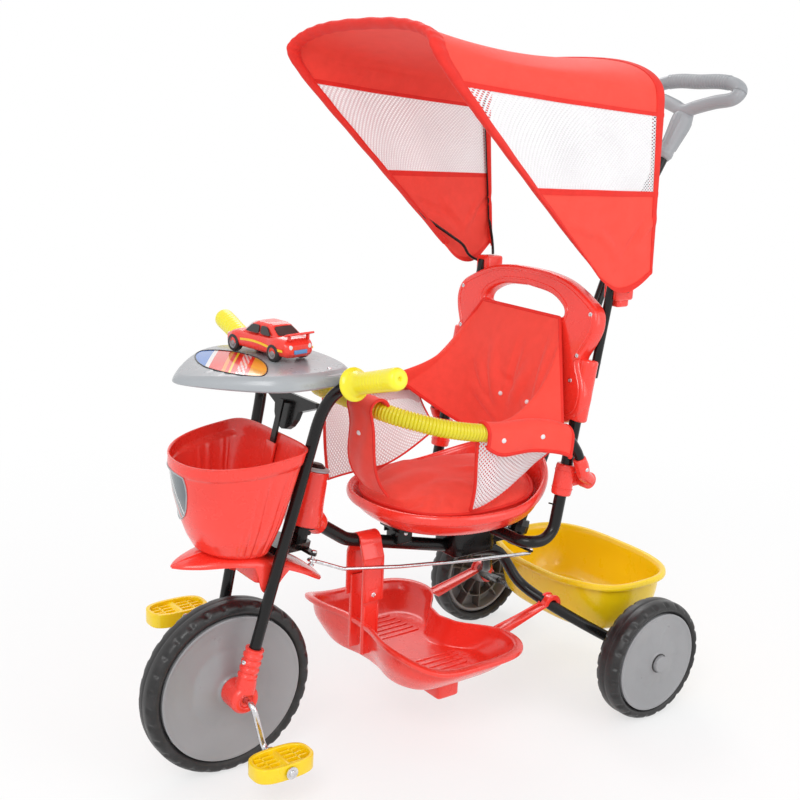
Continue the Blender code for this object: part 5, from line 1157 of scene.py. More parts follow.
def buildFrame():
    # the tubes as bent pipes with true arcs, then the head turned about the steering line
    joint = onFork(0, -frameSize["steerOffset"], frameSize["headLow"] + 0.024)
    line = evenly(arcLine([joint, mainPoint(0.19), mainPoint(frameSize["rearY"])], 0.045), 90)
    line = line[np.linalg.norm(line - joint, axis=1) > 0.0155]
    makePiece("main_tube_smooth", [pipeShape(line, frameSize["main"], (1, 0, 0), 36)], blackPaint, "frame",
        ["main_tube"])
    gap = frameSize["main"] + frameSize["leg"] + 0.0003
    for side, word in sides:
        points = [mainPoint(frameSize["rearY"] - 0.055, side * gap), mainPoint(frameSize["rearY"] - 0.004,
            side * (gap + 0.001)), vec(side * 0.04, frameSize["rearY"] + 0.025, 0.186),
            vec(side * 0.083, frameSize["hookY"], frameSize["hookZ"]), vec(side * 0.135, 0.58, 0.118),
            vec(side * 0.165, 0.631, 0.0885)]
        route = evenly(smoothLine(points, 10), 90)
        weld = pipeShape(evenly([mainPoint(frameSize["rearY"] - 0.05, side * gap * 0.5),
            mainPoint(frameSize["rearY"] - 0.012, side * gap * 0.5)], 8), 0.004, (0, 0, 1), 14,
            roundEnd=0.003)
        makePiece("rear_leg_smooth_" + word,
            [pipeShape(route, frameSize["leg"], (0, 0, 1), 32, roundEnd=0.002), weld], blackPaint, "frame",
            ["rear_leg_" + word])
    # head: a flared red cover with a grey cap above and a black ring below
    base = onFork(0, -frameSize["steerOffset"], 0)
    low, top = frameSize["headLow"] + 0.016, frameSize["headLow"] + frameSize["headLength"] + 0.012
    line = softCorners([(0.0153, low - 0.004), (0.0258, low - 0.004), (0.0268, low), (0.0252, low + 0.012),
        (0.0222, low + 0.028), (0.0204, top - 0.022), (0.02, top - 0.01), (0.0208, top - 0.003),
        (0.0206, top), (0.0153, top)], 0.004, 5)
    shapes = [turnedShape(evenly(line, 60), base, steerUp, 80, ring=True)]
    run = evenly(arcLine([joint, mainPoint(0.19), mainPoint(0.3)], 0.045), 90)
    d = np.linalg.norm(run - joint, axis=1)
    sock = evenly(run[(d > 0.008) & (d < 0.036)], 12)
    shapes.append(pipeShape(sock, np.interp(np.linspace(0, 1, 12), [0, 0.6, 0.9, 1],
        [0.0205, 0.0172, 0.0142, 0.0112]), (1, 0, 0), 40))
    for turn in (-0.62, 0.62):  # pressed ribs down the cover
        for side in (1, -1):
            out = vec(math.sin(turn) * side, 0, 0) - steerFront * math.cos(turn)
            rib = [base + steerUp * h + out * r for h, r in ((low + 0.006, 0.0262), (low + 0.026, 0.0224),
                (top - 0.014, 0.02))]
            shapes.append(pipeShape(evenly(smoothLine(rib, 6), 14), 0.0011, (1, 0, 0.2), 8, roundEnd=0.0008))
    makePiece("head_cover_shell", shapes, redPlastic, "frame", ["head_cover"], 35)
    cap = softCorners([(0.0122, top + 0.0003), (0.0212, top + 0.0003), (0.0214, top + 0.003),
        (0.018, top + 0.005), (0.0122, top + 0.0052)], 0.0012, 4)
    makePiece("head_cap", [turnedShape(cap, base, steerUp, 64, ring=True)], greyPlastic, "frame", (), 35)
    ring = softCorners([(0.0153, low - 0.0068), (0.0205, low - 0.0068), (0.021, low - 0.001),
        (0.0153, low - 0.0006)], 0.001, 4)
    makePiece("head_ring", [turnedShape(ring, base, steerUp, 64, ring=True)], blackPaint, "frame", (), 35)


buildFrame()
print("frame ready")

# Seat shell, backrest and canopy posts
seat = {"halfX": 0.135, "halfY": 0.15, "middleY": 0.372, "low": 0.3095, "rise": 0.052, "wall": 0.003}
rest = {"x": 0.145, "y": 0.467, "z": 0.357, "slope": 0.17, "tube": 0.0088, "thick": 0.0115}
blocks = {"y": 0.554, "z": 0.662, "half": (0.015, 0.017, 0.014)}
lean = math.atan(rest["slope"])
restUp, restFront = vec(0, math.sin(lean), math.cos(lean)), vec(0, -math.cos(lean), math.sin(lean))


def restPoint(z, x=0.0):
    # on the leaning plane of the backrest: y grows by the slope with z
    return vec(x, rest["y"] + (z - rest["z"]) * rest["slope"], z)


def starRing(outline, centre, count):
    # the outline met by rays at equal angles about a centre inside it
    d = np.asarray(outline, float) - centre
    angle, reach = np.arctan2(d[:, 1], d[:, 0]) % tau, np.linalg.norm(d, axis=1)
    order = np.argsort(angle)
    a = angles(count)
    r = np.interp(a, angle[order], reach[order], period=tau)
    return np.asarray(centre) + np.stack([np.cos(a), np.sin(a)], 1) * r[:, None]


def seatRows(profile, inset, samples):
    # ovals of a share of the seat, lifted; behind the middle they rise by (y / halfY)^2.2
    rows = []
    for share, lift, rise in smoothLine(profile, samples):
        flat = ovalOutline((seat["halfX"] - inset) * share, (seat["halfY"] - inset) * share, 2.25, 200)
        back = np.clip(flat[:, 1] / seat["halfY"], 0, None)
        z = seat["low"] + lift + rise * seat["rise"] * back ** 2.2
        rows.append(np.column_stack([flat[:, 0], seat["middleY"] + flat[:, 1], z]))
    return rows


def buildBracket():
    # two blocks and a channel between the main tube and the seat
    parts = []
    top = seat["low"] - 0.0003
    for y0, y1, wide in ((0.272, 0.3, 0.016), (0.372, 0.452, 0.028)):
        low = mainPoint(y1)[2] + 0.006
        parts.append(roundBox(vec(0, (y0 + y1) / 2, (low + top) / 2),
            (wide, (y1 - y0) / 2, (top - low) / 2), 0.0025, power=8))
    parts.append(roundBox(vec(0, 0.366, top - 0.003), (0.03, 0.1, 0.003), 0.001, power=10))
    for side in (1, -1):
        parts.append(roundBox(vec(side * 0.014, 0.366, top - 0.008), (0.0015, 0.098, 0.006), 0.001,
            power=10))
        for y in (0.286, 0.436):
            parts.append(screwShape(vec(side * (0.016 if y < 0.3 else 0.028), y, top - 0.012), (side, 0, 0),
                0.0036))
    makePiece("seat_bracket_smooth", parts, [blackPaint, steel], "frame", ["seat_bracket"], 35)


def buildSeat():
    # the bucket, the bent tube, the back plate with its hole, the posts and their blocks
    outside = seatRows([(0.55, 0.0, 0.0), (0.66, 0.0, 0.0), (0.8, 0.006, 0.06), (0.9, 0.017, 0.26),
        (0.955, 0.029, 0.55), (0.975, 0.035, 0.8), (0.995, 0.038, 1.0), (1.0, 0.0402, 1.0),
        (0.996, 0.0418, 1.0), (0.984, 0.0425, 1.02)], 0, 5)
    inside = seatRows([(0.988, 0.042, 1.02), (0.962, 0.0395, 1.0), (0.945, 0.036, 0.8), (0.9, 0.026, 0.4),
        (0.8, 0.013, 0.08), (0.6, 0.0065, 0.0), (0.4, 0.0062, 0.0)], seat["wall"] * 0.8, 5)
    shapes = [skin(np.stack(outside + inside))]
    lip = np.array(seatRows([(0.981, 0.0362, 1.0), (0.981, 0.0362, 1.0)], 0, 1)[0])
    shapes.append(pipeShape(lip, 0.0046, (0, 0, 1), 20, closed=True, flat=1.7))
    for side in (1, -1):
        shapes.append(screwShape(vec(side * 0.06, 0.2345, 0.3485), unit(vec(side * 0.3, -0.8, 0.5)), 0.0036))
        pin = [vec(side * 0.136, 0.455, 0.352), vec(side * 0.147, 0.458, 0.352)]
        shapes.append((*pipeShape(evenly(pin, 6), 0.0011, (0, 0, 1), 10, roundEnd=0.0006), 2))
    makePiece("seat_shell", shapes, [redPlastic, steel, blackPaint], "frame", ["seat_base"], 35)
    points = []
    for side in (1, -1):
        leg = [restPoint(0.502, side * rest["x"]), restPoint(0.3, side * rest["x"]),
            vec(side * rest["x"], 0.408, 0.3)]
        points += leg if side > 0 else leg[::-1]
    makePiece("backrest_tube_smooth",
        [pipeShape(evenly(arcLine(points, 0.032), 200), rest["tube"], (0, 0, 1), 32, roundEnd=0.002)],
        blackPaint, "frame", ["backrest_tube"])
    # seat back: a thick moulded plate with a handle hole, a raised rim and screws
    outer = [(0.085, 0.462), (0.122, 0.466), (0.152, 0.482), (0.16, 0.507), (0.155, 0.53), (0.142, 0.552),
        (0.14, 0.566), (0.152, 0.59), (0.158, 0.612), (0.152, 0.634), (0.128, 0.65), (0.085, 0.668),
        (0.04, 0.6755), (0, 0.677)]
    hole = [(0.078, 0.612), (0.089, 0.618), (0.082, 0.631), (0.052, 0.6445), (0, 0.6495)]
    stand = (restPoint(rest["z"]), vec(1, 0, 0), restUp, restFront)
    loops = []
    for points in (outer, hole):
        flat = [(x, (z - rest["z"]) / math.cos(lean)) for x, z in points]
        loops.append(evenly(mirroredOutline(smoothLine(flat, 14)), 700, closed=True))
    centre = (0.0, (0.632 - rest["z"]) / math.cos(lean))
    big, small = starRing(loops[0], centre, 360), starRing(loops[1], centre, 360)
    shapes = [framePlate(big, small, rest["thick"], 0.0055, stand)]
    for loop, inset in ((big, 0.009), (small, -0.0085)):
        edge = placed(inwards(loop, inset), np.full(len(loop), rest["thick"] - 0.0006), stand)
        shapes.append(pipeShape(edge, 0.0017, restUp + restFront * 0.1, 10, closed=True))
    for x, z in ((-0.078, 0.6086), (0.1445, 0.6275), (0.1335, 0.5665), (0.13, 0.53), (-0.1335, 0.5665),
            (-0.13, 0.53), (-0.1445, 0.6275), (0.118, 0.487), (-0.118, 0.487)):
        spot = restPoint(z, x) + restFront * (rest["thick"] + 0.0002)
        shapes.append(screwShape(spot, restFront, 0.0036))
        shapes.append((*turnedShape([(0, 0.0004), (0.0056, 0.0004), (0.0062, -0.001), (0, -0.001)], spot,
            restFront, 32), 0))
    for side in (1, -1):  # moulded channels behind, which hold the tube and the post
        line = [restPoint(z, side * rest["x"]) - restFront * 0.004 for z in np.linspace(0.478, 0.56, 12)]
        shapes.append(pipeShape(line, 0.0135, (1, 0, 0), 28, roundEnd=0.004))
    makePiece("seat_back_plate", shapes, [redPlastic, steel], "frame", ["seat_back"], 35)
    out = 0.0118 + 0.0065
    for side, word in sides:
        low = restPoint(0.54, side * rest["x"]) - restFront * out
        high = restPoint(blocks["z"] + 0.01, side * rest["x"]) - restFront * out
        makePiece("canopy_post_smooth_" + word,
            [pipeShape(evenly([low, high], 16), 0.0065, (1, 0, 0), 28, roundEnd=0.001),
            screwShape(low + (high - low) * 0.16 - restFront * 0.0062, -restFront, 0.0034)],
            [blackPaint, steel], "frame", ["canopy_post_" + word])
        middle = vec(side * rest["x"], blocks["y"], blocks["z"])
        h = blocks["half"]
        parts = [roundBox(middle, h, 0.004, power=7),
            turnedShape([(0, 0.0), (0.0095, 0.0), (0.0095, 0.0008), (0.0088, 0.0014), (0, 0.0014)],
            middle + vec(side * (h[0] - 0.0012), 0, 0), (side, 0, 0), 40),
            roundBox(middle + vec(0, 0.002, -h[2] - 0.004), (0.0105, 0.012, 0.006), 0.003, power=4),
            screwShape(middle + vec(0, -h[1] - 0.0002, 0.001), (0, -1, 0), 0.0036)]
        for k in (-1, 1):
            parts.append(roundBox(middle + vec(side * k * 0.0075, -h[1] + 0.0006, 0.0),
                (0.001, 0.0012, 0.0105), 0.0006))
        makePiece("canopy_block_soft_" + word, parts, [redPlastic, steel], "frame",
            ["canopy_block_" + word], 38)


# Canopy line, hoop wires
def canopyPoint(s, v):
    # the raw line averaged over seven steps of s, which rounds its shoulders
    s, v = np.broadcast_arrays(np.asarray(s, float), np.asarray(v, float))
    room = np.clip((1.0 - np.abs(s)) / 0.12, 0, 1)
    spot = 0
    for k, weight in zip((-3, -2, -1, 0, 1, 2, 3), (0.06, 0.12, 0.19, 0.26, 0.19, 0.12, 0.06)):
        spot = spot + weight * rawCanopy(s + k * 0.036 * room, v)
    return spot


def rawCanopy(s, v):
    # s from -1 (right foot) over the crown to 1, shoulder at |s| = 0.56; v from front hoop to rear edge
    s, v = np.broadcast_arrays(np.asarray(s, float), np.asarray(v, float))
    foot = np.stack([0.17 + 0.01 * v, 0.487 + 0.094 * v, 0.687 + 0.003 * v - 0.026 * np.sin(math.pi * v)],
        -1)
    shoulder = np.stack([0.187 - 0.014 * (1 - v), 0.174 + 0.394 * v, 0.97 - 0.044 * v], -1)
    crown = np.stack([0 * v, 0.192 + 0.384 * v, 0.986 + 0.029 * (1 - v) ** 3], -1)
    turn = np.abs(s)
    k = np.clip((turn - 0.56) / 0.44, 0, 1)[..., None]
    t = np.clip(turn / 0.56, 0, 1) * math.pi / 2
    top = shoulder + (crown - shoulder) * (np.clip(np.cos(t), 0, 1) ** 0.9)[..., None]
    top[..., 0] = shoulder[..., 0] * np.sin(t) ** 0.7
    spot = np.where((turn > 0.56)[..., None], shoulder * (1 - k) + foot * k, top)
    spot[..., 0] *= np.sign(s)
    return spot


def canopyOut(s, v):
    # the outward unit normal of that surface
    across = canopyPoint(np.clip(s + 0.01, -1, 1), v) - canopyPoint(np.clip(s - 0.01, -1, 1), v)
    along = canopyPoint(s, v + 0.01) - canopyPoint(s, v - 0.01)
    n = unit(np.cross(across, along))
    p = canopyPoint(s, v)
    facing = np.sum(n * np.stack([p[..., 0], 0 * p[..., 0], 0.05 + 0 * p[..., 0]], -1), -1, keepdims=True)
    return np.where(facing < 0, -n, n)


def buildBows():
    # each hoop follows the inside of the cover, with a bent foot in its block
    for name, v, body, node in (("canopy_front_hoop", 0.03, "front_bow", "canopy_front_bow"),
            ("canopy_rear_hoop", 0.97, "frame", "canopy_rear_bow")):
        s = np.linspace(-0.97, 0.97, 160)
        hoop = canopyPoint(s, v) - canopyOut(s, v) * 0.0046
        if v < 0.5:
            foot = vec(0.1625, blocks["y"], blocks["z"])
            lead = [foot, foot + vec(0.0002, -0.03, 0.012), foot + vec(-0.0035, -0.045, 0.031)]
        else:
            foot = vec(rest["x"], blocks["y"] + 0.006, blocks["z"] + 0.0165)
            lead = [foot, foot + vec(0.004, 0.002, 0.012), foot + vec(0.016, 0.01, 0.022)]
        flip = vec(-1, 1, 1)
        route = np.vstack([[q * flip for q in lead], hoop[4:-4], lead[::-1]])
        route = evenly(softCorners(route, 0.01, 5), 420)
        makePiece(name, [pipeShape(route, 0.0022, (0.1, 1, 0.05), 14, roundEnd=0.001)], blackPaint, body,
            [node])


# Guard ring, sleeve, clamps and sockets
ringSize = {"tube": 0.007, "sleeve": 0.0125, "groove": 0.0016, "pitch": 0.0047}
clampY = restPoint(0.39)[1]
ringSide = [(0.17, clampY + 0.01, 0.412), (0.17, clampY - 0.004, 0.44), (0.168, clampY - 0.03, 0.466),
    (0.158, 0.395, 0.477), (0.154, 0.33, 0.479), (0.141, 0.262, 0.489), (0.106, 0.207, 0.503),
    (0.055, 0.181, 0.512)]
ringPoints = np.array(ringSide + [(0, 0.175, 0.515)] + [(-x, y, z) for x, y, z in ringSide[::-1]])
ringLine = smoothLine(ringPoints, 24)


def buildGuard():
    # ring tube, sleeve ribbed by r - groove (1 - |sin(pi s)|^0.55), clamps and sockets
    makePiece("guard_ring_smooth",
        [pipeShape(evenly(ringLine, 300), ringSize["tube"], (0, 0, 1), 28, roundEnd=0.001)], blackPaint,
        "frame", ["guard_ring"])
    covered = ringLine[3 * 24:-3 * 24]
    length = np.sum(np.linalg.norm(np.diff(covered, axis=0), axis=1))
    count = int(length / ringSize["pitch"]) * 8 + 1
    line = evenly(covered, count)
    phase = np.arange(count) / 8
    r = ringSize["sleeve"] - ringSize["groove"] * (1 - np.abs(np.sin(math.pi * phase)) ** 0.55)
    r[0] = r[-1] = ringSize["tube"] + 0.0012
    makePiece("guard_sleeve_ribbed", [pipeShape(line, r, (0, 0, 1), 40)], sleevePlastic, "frame",
        ["guard_sleeve"], 60)
    way = unit(restPoint(1.0) - restPoint(0.0))
    for side, word in sides:
        flip = vec(side, 1, 1)
        low = restPoint(0.366, side * rest["x"])
        collar = softCorners([(0.009, 0), (0.014, 0), (0.0148, 0.004), (0.0148, 0.042), (0.014, 0.046),
            (0.009, 0.046)], 0.0015, 4)
        bossY = clampY + 0.034
        lug = roundBox(vec(rest["x"], (clampY + 0.006 + bossY + 0.01) / 2, 0.388) * flip,
            (0.0045, (bossY + 0.004 - clampY) / 2, 0.012), 0.002, power=5)
        bands = [turnedShape([(0.0146, h - 0.0012), (0.0155, h - 0.0008), (0.0155, h + 0.0008),
            (0.0146, h + 0.0012)], low, way, 48, ring=True) for h in (0.01, 0.036)]
        makePiece("ring_clamp_soft_" + word, [turnedShape(collar, low, way, 56, ring=True), lug] + bands
            + [screwShape(low + way * 0.023 - restFront * 0.0146, -restFront, 0.0034)], [redPlastic, steel],
            "frame", ["ring_clamp_" + word])
        centre = vec(rest["x"] + 0.0048, bossY, 0.386) * flip
        disc = softCorners([(0, 0), (0.0125, 0), (0.0125, 0.014), (0.0105, 0.0165), (0.0062, 0.0165),
            (0.0058, 0.015), (0, 0.015)], 0.0012, 4)
        arm = [vec(0.1665, bossY - 0.004, 0.389) * flip, vec(0.1685, clampY + 0.016, 0.4) * flip,
            vec(0.17, clampY + 0.0105, 0.4105) * flip, vec(0.17, clampY + 0.004, 0.424) * flip]
        arm = evenly(smoothLine(arm, 8), 40)
        parts = [turnedShape(disc, centre, (side, 0, 0), 56),
            pipeShape(arm, np.interp(np.linspace(0, 1, 40), [0, 0.4, 0.8, 1],
            [0.0085, 0.0098, 0.0105, 0.0098]), (1, 0, 0), 36, roundEnd=0.003),
            screwShape(centre + vec(side * 0.0152, 0, 0), (side, 0, 0), 0.0046),
            screwShape(arm[26] + vec(side * 0.0098, 0, 0), (side, 0, 0), 0.0032)]
        makePiece("ring_socket_soft_" + word, parts, [redPlastic, steel], "frame", ["ring_socket_" + word])


# Rear basket
rearTub = {"power": 2.9, "around": 200, "dip": 0.0042}


def buildRearBasket():
    # superellipses (half x, half y, height, middle y) stacked up the outside and down the inside
    line = smoothLine([(0.06, 0.03, 0.0996, 0.658), (0.104, 0.062, 0.0997, 0.658),
        (0.114, 0.072, 0.102, 0.6585), (0.1245, 0.0825, 0.11, 0.661), (0.132, 0.0885, 0.128, 0.662),
        (0.137, 0.0935, 0.152, 0.663), (0.1388, 0.0952, 0.1765, 0.664), (0.14, 0.0965, 0.1812, 0.664),
        (0.1425, 0.0985, 0.1832, 0.664), (0.1466, 0.1026, 0.1812, 0.664), (0.148, 0.104, 0.1802, 0.664),
        (0.1488, 0.1048, 0.183, 0.664), (0.1478, 0.1038, 0.1878, 0.664)], 6)
    inner = [(0.145, 0.101, 0.1896, 0.664), (0.141, 0.0972, 0.1888, 0.664), (0.138, 0.0944, 0.185, 0.664),
        (0.1362, 0.0928, 0.178, 0.664), (0.1345, 0.091, 0.152, 0.663), (0.129, 0.0855, 0.128, 0.662),
        (0.121, 0.079, 0.112, 0.661), (0.11, 0.068, 0.1042, 0.6585), (0.06, 0.03, 0.103, 0.658)]
    rows = []
    for hx, hy, z, y in np.vstack([line, smoothLine(inner, 6)]):
        flat = ovalOutline(hx, hy, rearTub["power"], rearTub["around"], (0, y))
        rows.append(np.column_stack([flat, np.full(len(flat), z)]))
    grid = np.stack(rows)
    a = angles(rearTub["around"])
    dip = rearTub["dip"] * bump(np.cos(a) / 0.62) * (np.sin(a) < 0)  # the front edge dips a little
    grid[..., 2] -= dip[None, :] * ease((grid[..., 2] - 0.14) / 0.04)
    makePiece("rear_basket_tub", [skin(grid)], yellowPlastic, "frame", ["rear_basket"], 35)


# Foot tray, its straps and hooks
tray = {"y": 0.311, "halfX": 0.17, "halfY": 0.114, "rim": 0.14, "strapY": 0.226, "hookX": 0.083}


def trayRow(share, z, toe):
    # a squared oval, notched in the middle fore and aft, its front lifted by toe |sin a|^1.3
    a = angles(240)
    c, s = np.cos(a), np.sin(a)
    x0 = curve(c, 0.46)
    notch = 1 - np.where(s > 0, 0.5, 0.15) * np.exp(-(np.abs(x0) / 0.4) ** 2.6)
    x = tray["halfX"] * share * x0
    y = np.where(s > 0, tray["halfY"] + 0.008, tray["halfY"]) * share * curve(s, 0.46) * notch
    return np.column_stack([x, tray["y"] + y, z + toe * np.clip(-s, 0, None) ** 1.3])


def buildTray():
    # the dish in two lobes, its hooks over the rear legs, and the straps over the main tube
    outside = [(0.3, 0.098, 0), (0.62, 0.098, 0), (0.7, 0.0985, 0), (0.76, 0.102, 0), (0.84, 0.113, 0.006),
        (0.9, 0.124, 0.012), (0.925, 0.134, 0.028), (0.955, 0.1345, 0.028), (0.99, 0.1346, 0.028),
        (0.999, 0.136, 0.028), (1.0, 0.139, 0.028), (0.996, 0.141, 0.028)]
    inside = [(0.98, 0.1422, 0.028), (0.94, 0.1424, 0.028), (0.918, 0.14, 0.027), (0.9, 0.133, 0.02),
        (0.875, 0.126, 0.012), (0.81, 0.115, 0.006), (0.735, 0.1055, 0), (0.68, 0.1025, 0),
        (0.58, 0.102, 0), (0.3, 0.102, 0)]
    grid = np.stack([trayRow(*q) for q in smoothLine(outside, 5)]
        + [trayRow(*q) for q in smoothLine(inside, 5)])
    shapes = [skin(grid)]
    for side in (1, -1):
        # grip bars on the floor of each lobe, the foot below, the arm up to the strap
        for k in range(6):
            shapes.append(roundBox(vec(side * (0.045 + 0.013 * k), tray["y"] + 0.006, 0.1026),
                (0.0022, 0.048 - 0.002 * k, 0.0011), 0.0006, power=5))
        shapes.append(roundBox(vec(side * 0.078, 0.315, 0.081), (0.022, 0.02, 0.019), 0.003, power=7))
        shapes.append(roundBox(vec(side * 0.0152, tray["strapY"], 0.179), (0.0028, 0.014, 0.058), 0.002,
            power=7))
        for k in (-1, 1):
            shapes.append(roundBox(vec(side * 0.0182, tray["strapY"] + k * 0.0115, 0.16),
                (0.0016, 0.0016, 0.038), 0.001, power=4))
        r0, r1 = 0.0088, 0.0148
        angle = np.radians(np.linspace(-28, 172, 40))
        cy, cz = frameSize["hookY"], frameSize["hookZ"]
        top = np.column_stack([cy + r1 * np.cos(angle), cz + r1 * np.sin(angle)])
        under = np.column_stack([cy + r0 * np.cos(angle[::-1]), cz + r0 * np.sin(angle[::-1])])
        end = (tray["y"] + tray["halfY"] * 0.985, tray["rim"] - 0.004)
        outline = np.vstack([top, [(end[0] - 0.007, end[1] + 0.004), (end[0] + 0.003, end[1] - 0.004)],
            under])
        outline = evenly(softCorners(evenly(outline, 260, closed=True), 0.001, 3, closed=True), 260,
            closed=True)
        shapes.append(plateShape(outline, roundedLevels(-0.009, 0.009, 0.001, 3),
            (vec(side * tray["hookX"], 0, 0), vec(0, 1, 0), vec(0, 0, 1), vec(1, 0, 0))))
        for k in (-1, 1):  # two stiffening ridges over each hook and down its arm
            ridge = np.vstack([top + (top - [cy, cz]) / r1 * 0.0006,
                [((top[-1][0] * 0.5 + end[0] * 0.5), (top[-1][1] * 0.5 + end[1] * 0.5) + 0.002),
                (end[0] - 0.006, end[1] + 0.0045)]])
            ridge = evenly(ridge, 60)
            shapes.append(
                pipeShape(np.column_stack([np.full(60, side * tray["hookX"] + k * 0.0074), ridge]), 0.0016,
                (1, 0, 0), 10, roundEnd=0.001))
    makePiece("foot_tray_smooth", shapes, redPlastic, "frame", ["foot_tray"], 35)
    saddle = frameSize["main"] + 0.0003
    outer = saddle + 0.0088
    tubeZ = mainPoint(tray["strapY"])[2]
    for side, word in sides:
        a = np.radians(np.linspace(0, 90, 14))
        outline = [(0.0, tubeZ + saddle + 0.0045)] + [((saddle + 0.0045) * math.sin(q),
            tubeZ + (saddle + 0.0045) * math.cos(q)) for q in a[1:]]
        outline += [(outer + 0.0042, tubeZ - 0.02), (outer + 0.0042, 0.205), (outer, 0.205),
            (outer, tubeZ - 0.022), (saddle + 0.0003, tubeZ - 0.002)]
        outline += [(saddle * math.sin(q), tubeZ + saddle * math.cos(q)) for q in a[::-1]]
        outline = evenly(softCorners(np.array(outline) + [0.00015, 0], 0.0012, 4, closed=True), 260,
            closed=True)
        place = (vec(0, tray["strapY"], 0), vec(side, 0, 0), vec(0, 0, 1), vec(0, -side, 0))
        parts = [plateShape(outline, roundedLevels(-0.018, 0.018, 0.0009, 3), place),
            screwShape(vec(side * (outer + 0.0043), tray["strapY"], 0.216), (side, 0, 0), 0.0042),
            roundBox(vec(side * (outer + 0.0044), tray["strapY"], 0.216), (0.0008, 0.0085, 0.0085), 0.0006,
            power=4)]
        for k in (-1, 1):
            parts.append(roundBox(vec(side * (outer + 0.0046), tray["strapY"] + k * 0.015, 0.236),
                (0.001, 0.0012, 0.03), 0.0008, power=4))
        makePiece("tray_strap_soft_" + word, parts, [redPlastic, steel], "frame", ["tray_strap_" + word], 35)


# Push pole, handle and steering rod
pole = {"radius": 0.0082, "y": 0.512, "z": 0.232, "slope": 0.389, "bendZ": 0.69, "leverX": 0.042}


def buildPole():
    # bent pipes for the pole and the rod, then the handle
    foot, up = vec(0, pole["y"], pole["z"]), unit(vec(0, pole["slope"], 1))
    at = lambda z: foot + vec(0, pole["slope"], 1) * (z - pole["z"])
    neckLow, neckTop = vec(0, 0.783, 0.843), vec(0, 0.824, 0.905)
    end = (neckLow + neckTop) / 2
    front = unit(np.cross(vec(1, 0, 0), up))
    lever = evenly(softCorners([(0, -0.01), (0.042, -0.006), (0.048, 0), (0.042, 0.006), (0, 0.01),
        (-0.01, 0.006), (-0.01, -0.006)], 0.004, 5, closed=True), 80, closed=True)
    place = (foot + up * 0.003, vec(1, 0, 0), -front, up)
    makePiece("push_pole_smooth",
        [pipeShape(evenly(arcLine([at(0.233), at(pole["bendZ"]), end], 0.09), 120), pole["radius"],
        (1, 0, 0), 32, roundEnd=0.001), plateShape(lever, roundedLevels(-0.002, 0.002, 0.0006, 3), place),
        screwShape(foot + up * 0.0052 + vec(pole["leverX"], 0, 0), up, 0.004)], [blackPaint, steel], "pole",
        ["push_pole"])
    pin = onFork(pole["leverX"], -frameSize["steerOffset"], 0.204)
    rodFront = pin - steerUp * 0.0087
    rodRear = foot + up * 0.003 + vec(pole["leverX"], 0, 0) - up * 0.0045
    route = evenly(arcLine([rodFront, rodFront + vec(0.003, 0.05, -0.022), vec(0.046, 0.255, 0.262),
        vec(0.044, 0.4, 0.243), rodRear], 0.03), 180)
    eye = [rodFront + steerFront * 0.0052 * math.cos(q) + vec(0.0052 * math.sin(q), 0, 0)
        for q in angles(40)]
    makePiece("steering_rod_smooth", [pipeShape(route, 0.0028, (1, 0, 0), 18, roundEnd=0.0015),
        pipeShape(np.array(eye), 0.002, steerUp, 12, closed=True)], steel, "rod", ["steering_rod"])
    bolt = [(0, 0.006), (0.0042, 0.0052), (0.0046, 0.003), (0.0024, 0.0026), (0.0024, -0.0135),
        (0.0044, -0.014), (0.004, -0.0165), (0, -0.017)]
    makePiece("link_bolt", [turnedShape(bolt, pin, steerUp, 28)], steel, "fork", (), 35)
    # handle: a tapered neck and a loop whose upper bar is ribbed
    handleUp = unit(neckTop - neckLow)
    line = evenly(smoothLine([neckLow, (neckLow + neckTop) / 2, neckTop + vec(0, 0.002, 0.006)], 12), 70)
    share = np.linspace(0, 1, 70)
    r = 0.0165 * np.interp(share, [0, 0.04, 0.12, 0.125, 0.25, 0.375, 0.5, 0.625, 0.75, 0.875, 1],
        [0.7, 0.8, 0.8, 0.75, 0.78, 0.82, 0.88, 0.94, 1.0, 1.0, 0.86])
    parts = [pipeShape(line, r, (1, 0, 0), 48, roundEnd=0.004)]
    for k in (-1, 0, 1):  # flutes up the neck
        across = unit(np.cross(vec(1, 0, 0), handleUp))
        rib = np.stack([line[i] + (across * math.cos(k * 0.55) + vec(1, 0, 0) * math.sin(k * 0.55))
            * (r[i] + 0.0001) for i in range(16, 62)])
        for flip in (1, -1):
            turned = line[16:62] * (1 - flip) + rib * flip if flip < 0 else rib
            parts.append(pipeShape(evenly(turned, 24), 0.0012, (0, 0.3, 1), 8, roundEnd=0.0008))
    middle, w = vec(0, 0.853, 0.9625), 0.091
    half = [(0, 0), (w * 0.45, 0.001), (w * 0.8, -0.004), (w, -0.016), (w * 0.92, -0.031),
        (w * 0.58, -0.038), (w * 0.24, -0.048), (0, -0.056)]
    loop = [middle + vec(x, 0, 0) + handleUp * d for x, d in half]
    loop += [q * vec(-1, 1, 1) for q in loop[-2:0:-1]]
    loop = evenly(smoothLine(loop, 12, closed=True), 720, closed=True)
    onTop = ((loop - middle) @ handleUp > -0.012) & (np.abs(loop[:, 0]) < 0.062)
    r = np.full(720, 0.0108) + np.where(onTop, 0.0012 * np.abs(np.sin(math.pi * loop[:, 0] / 0.0058)) ** 0.7
        - 0.0002, 0)
    parts.append(pipeShape(loop, r, (0, 0.6, 1), 32, closed=True))
    makePiece("push_handle_loop", parts, handlePlastic, "pole", ["push_handle"], 50)


buildBracket()
buildSeat()
buildBows()
buildGuard()
buildRearBasket()
buildTray()
buildPole()
print("seat, guard, baskets, tray and pole ready")

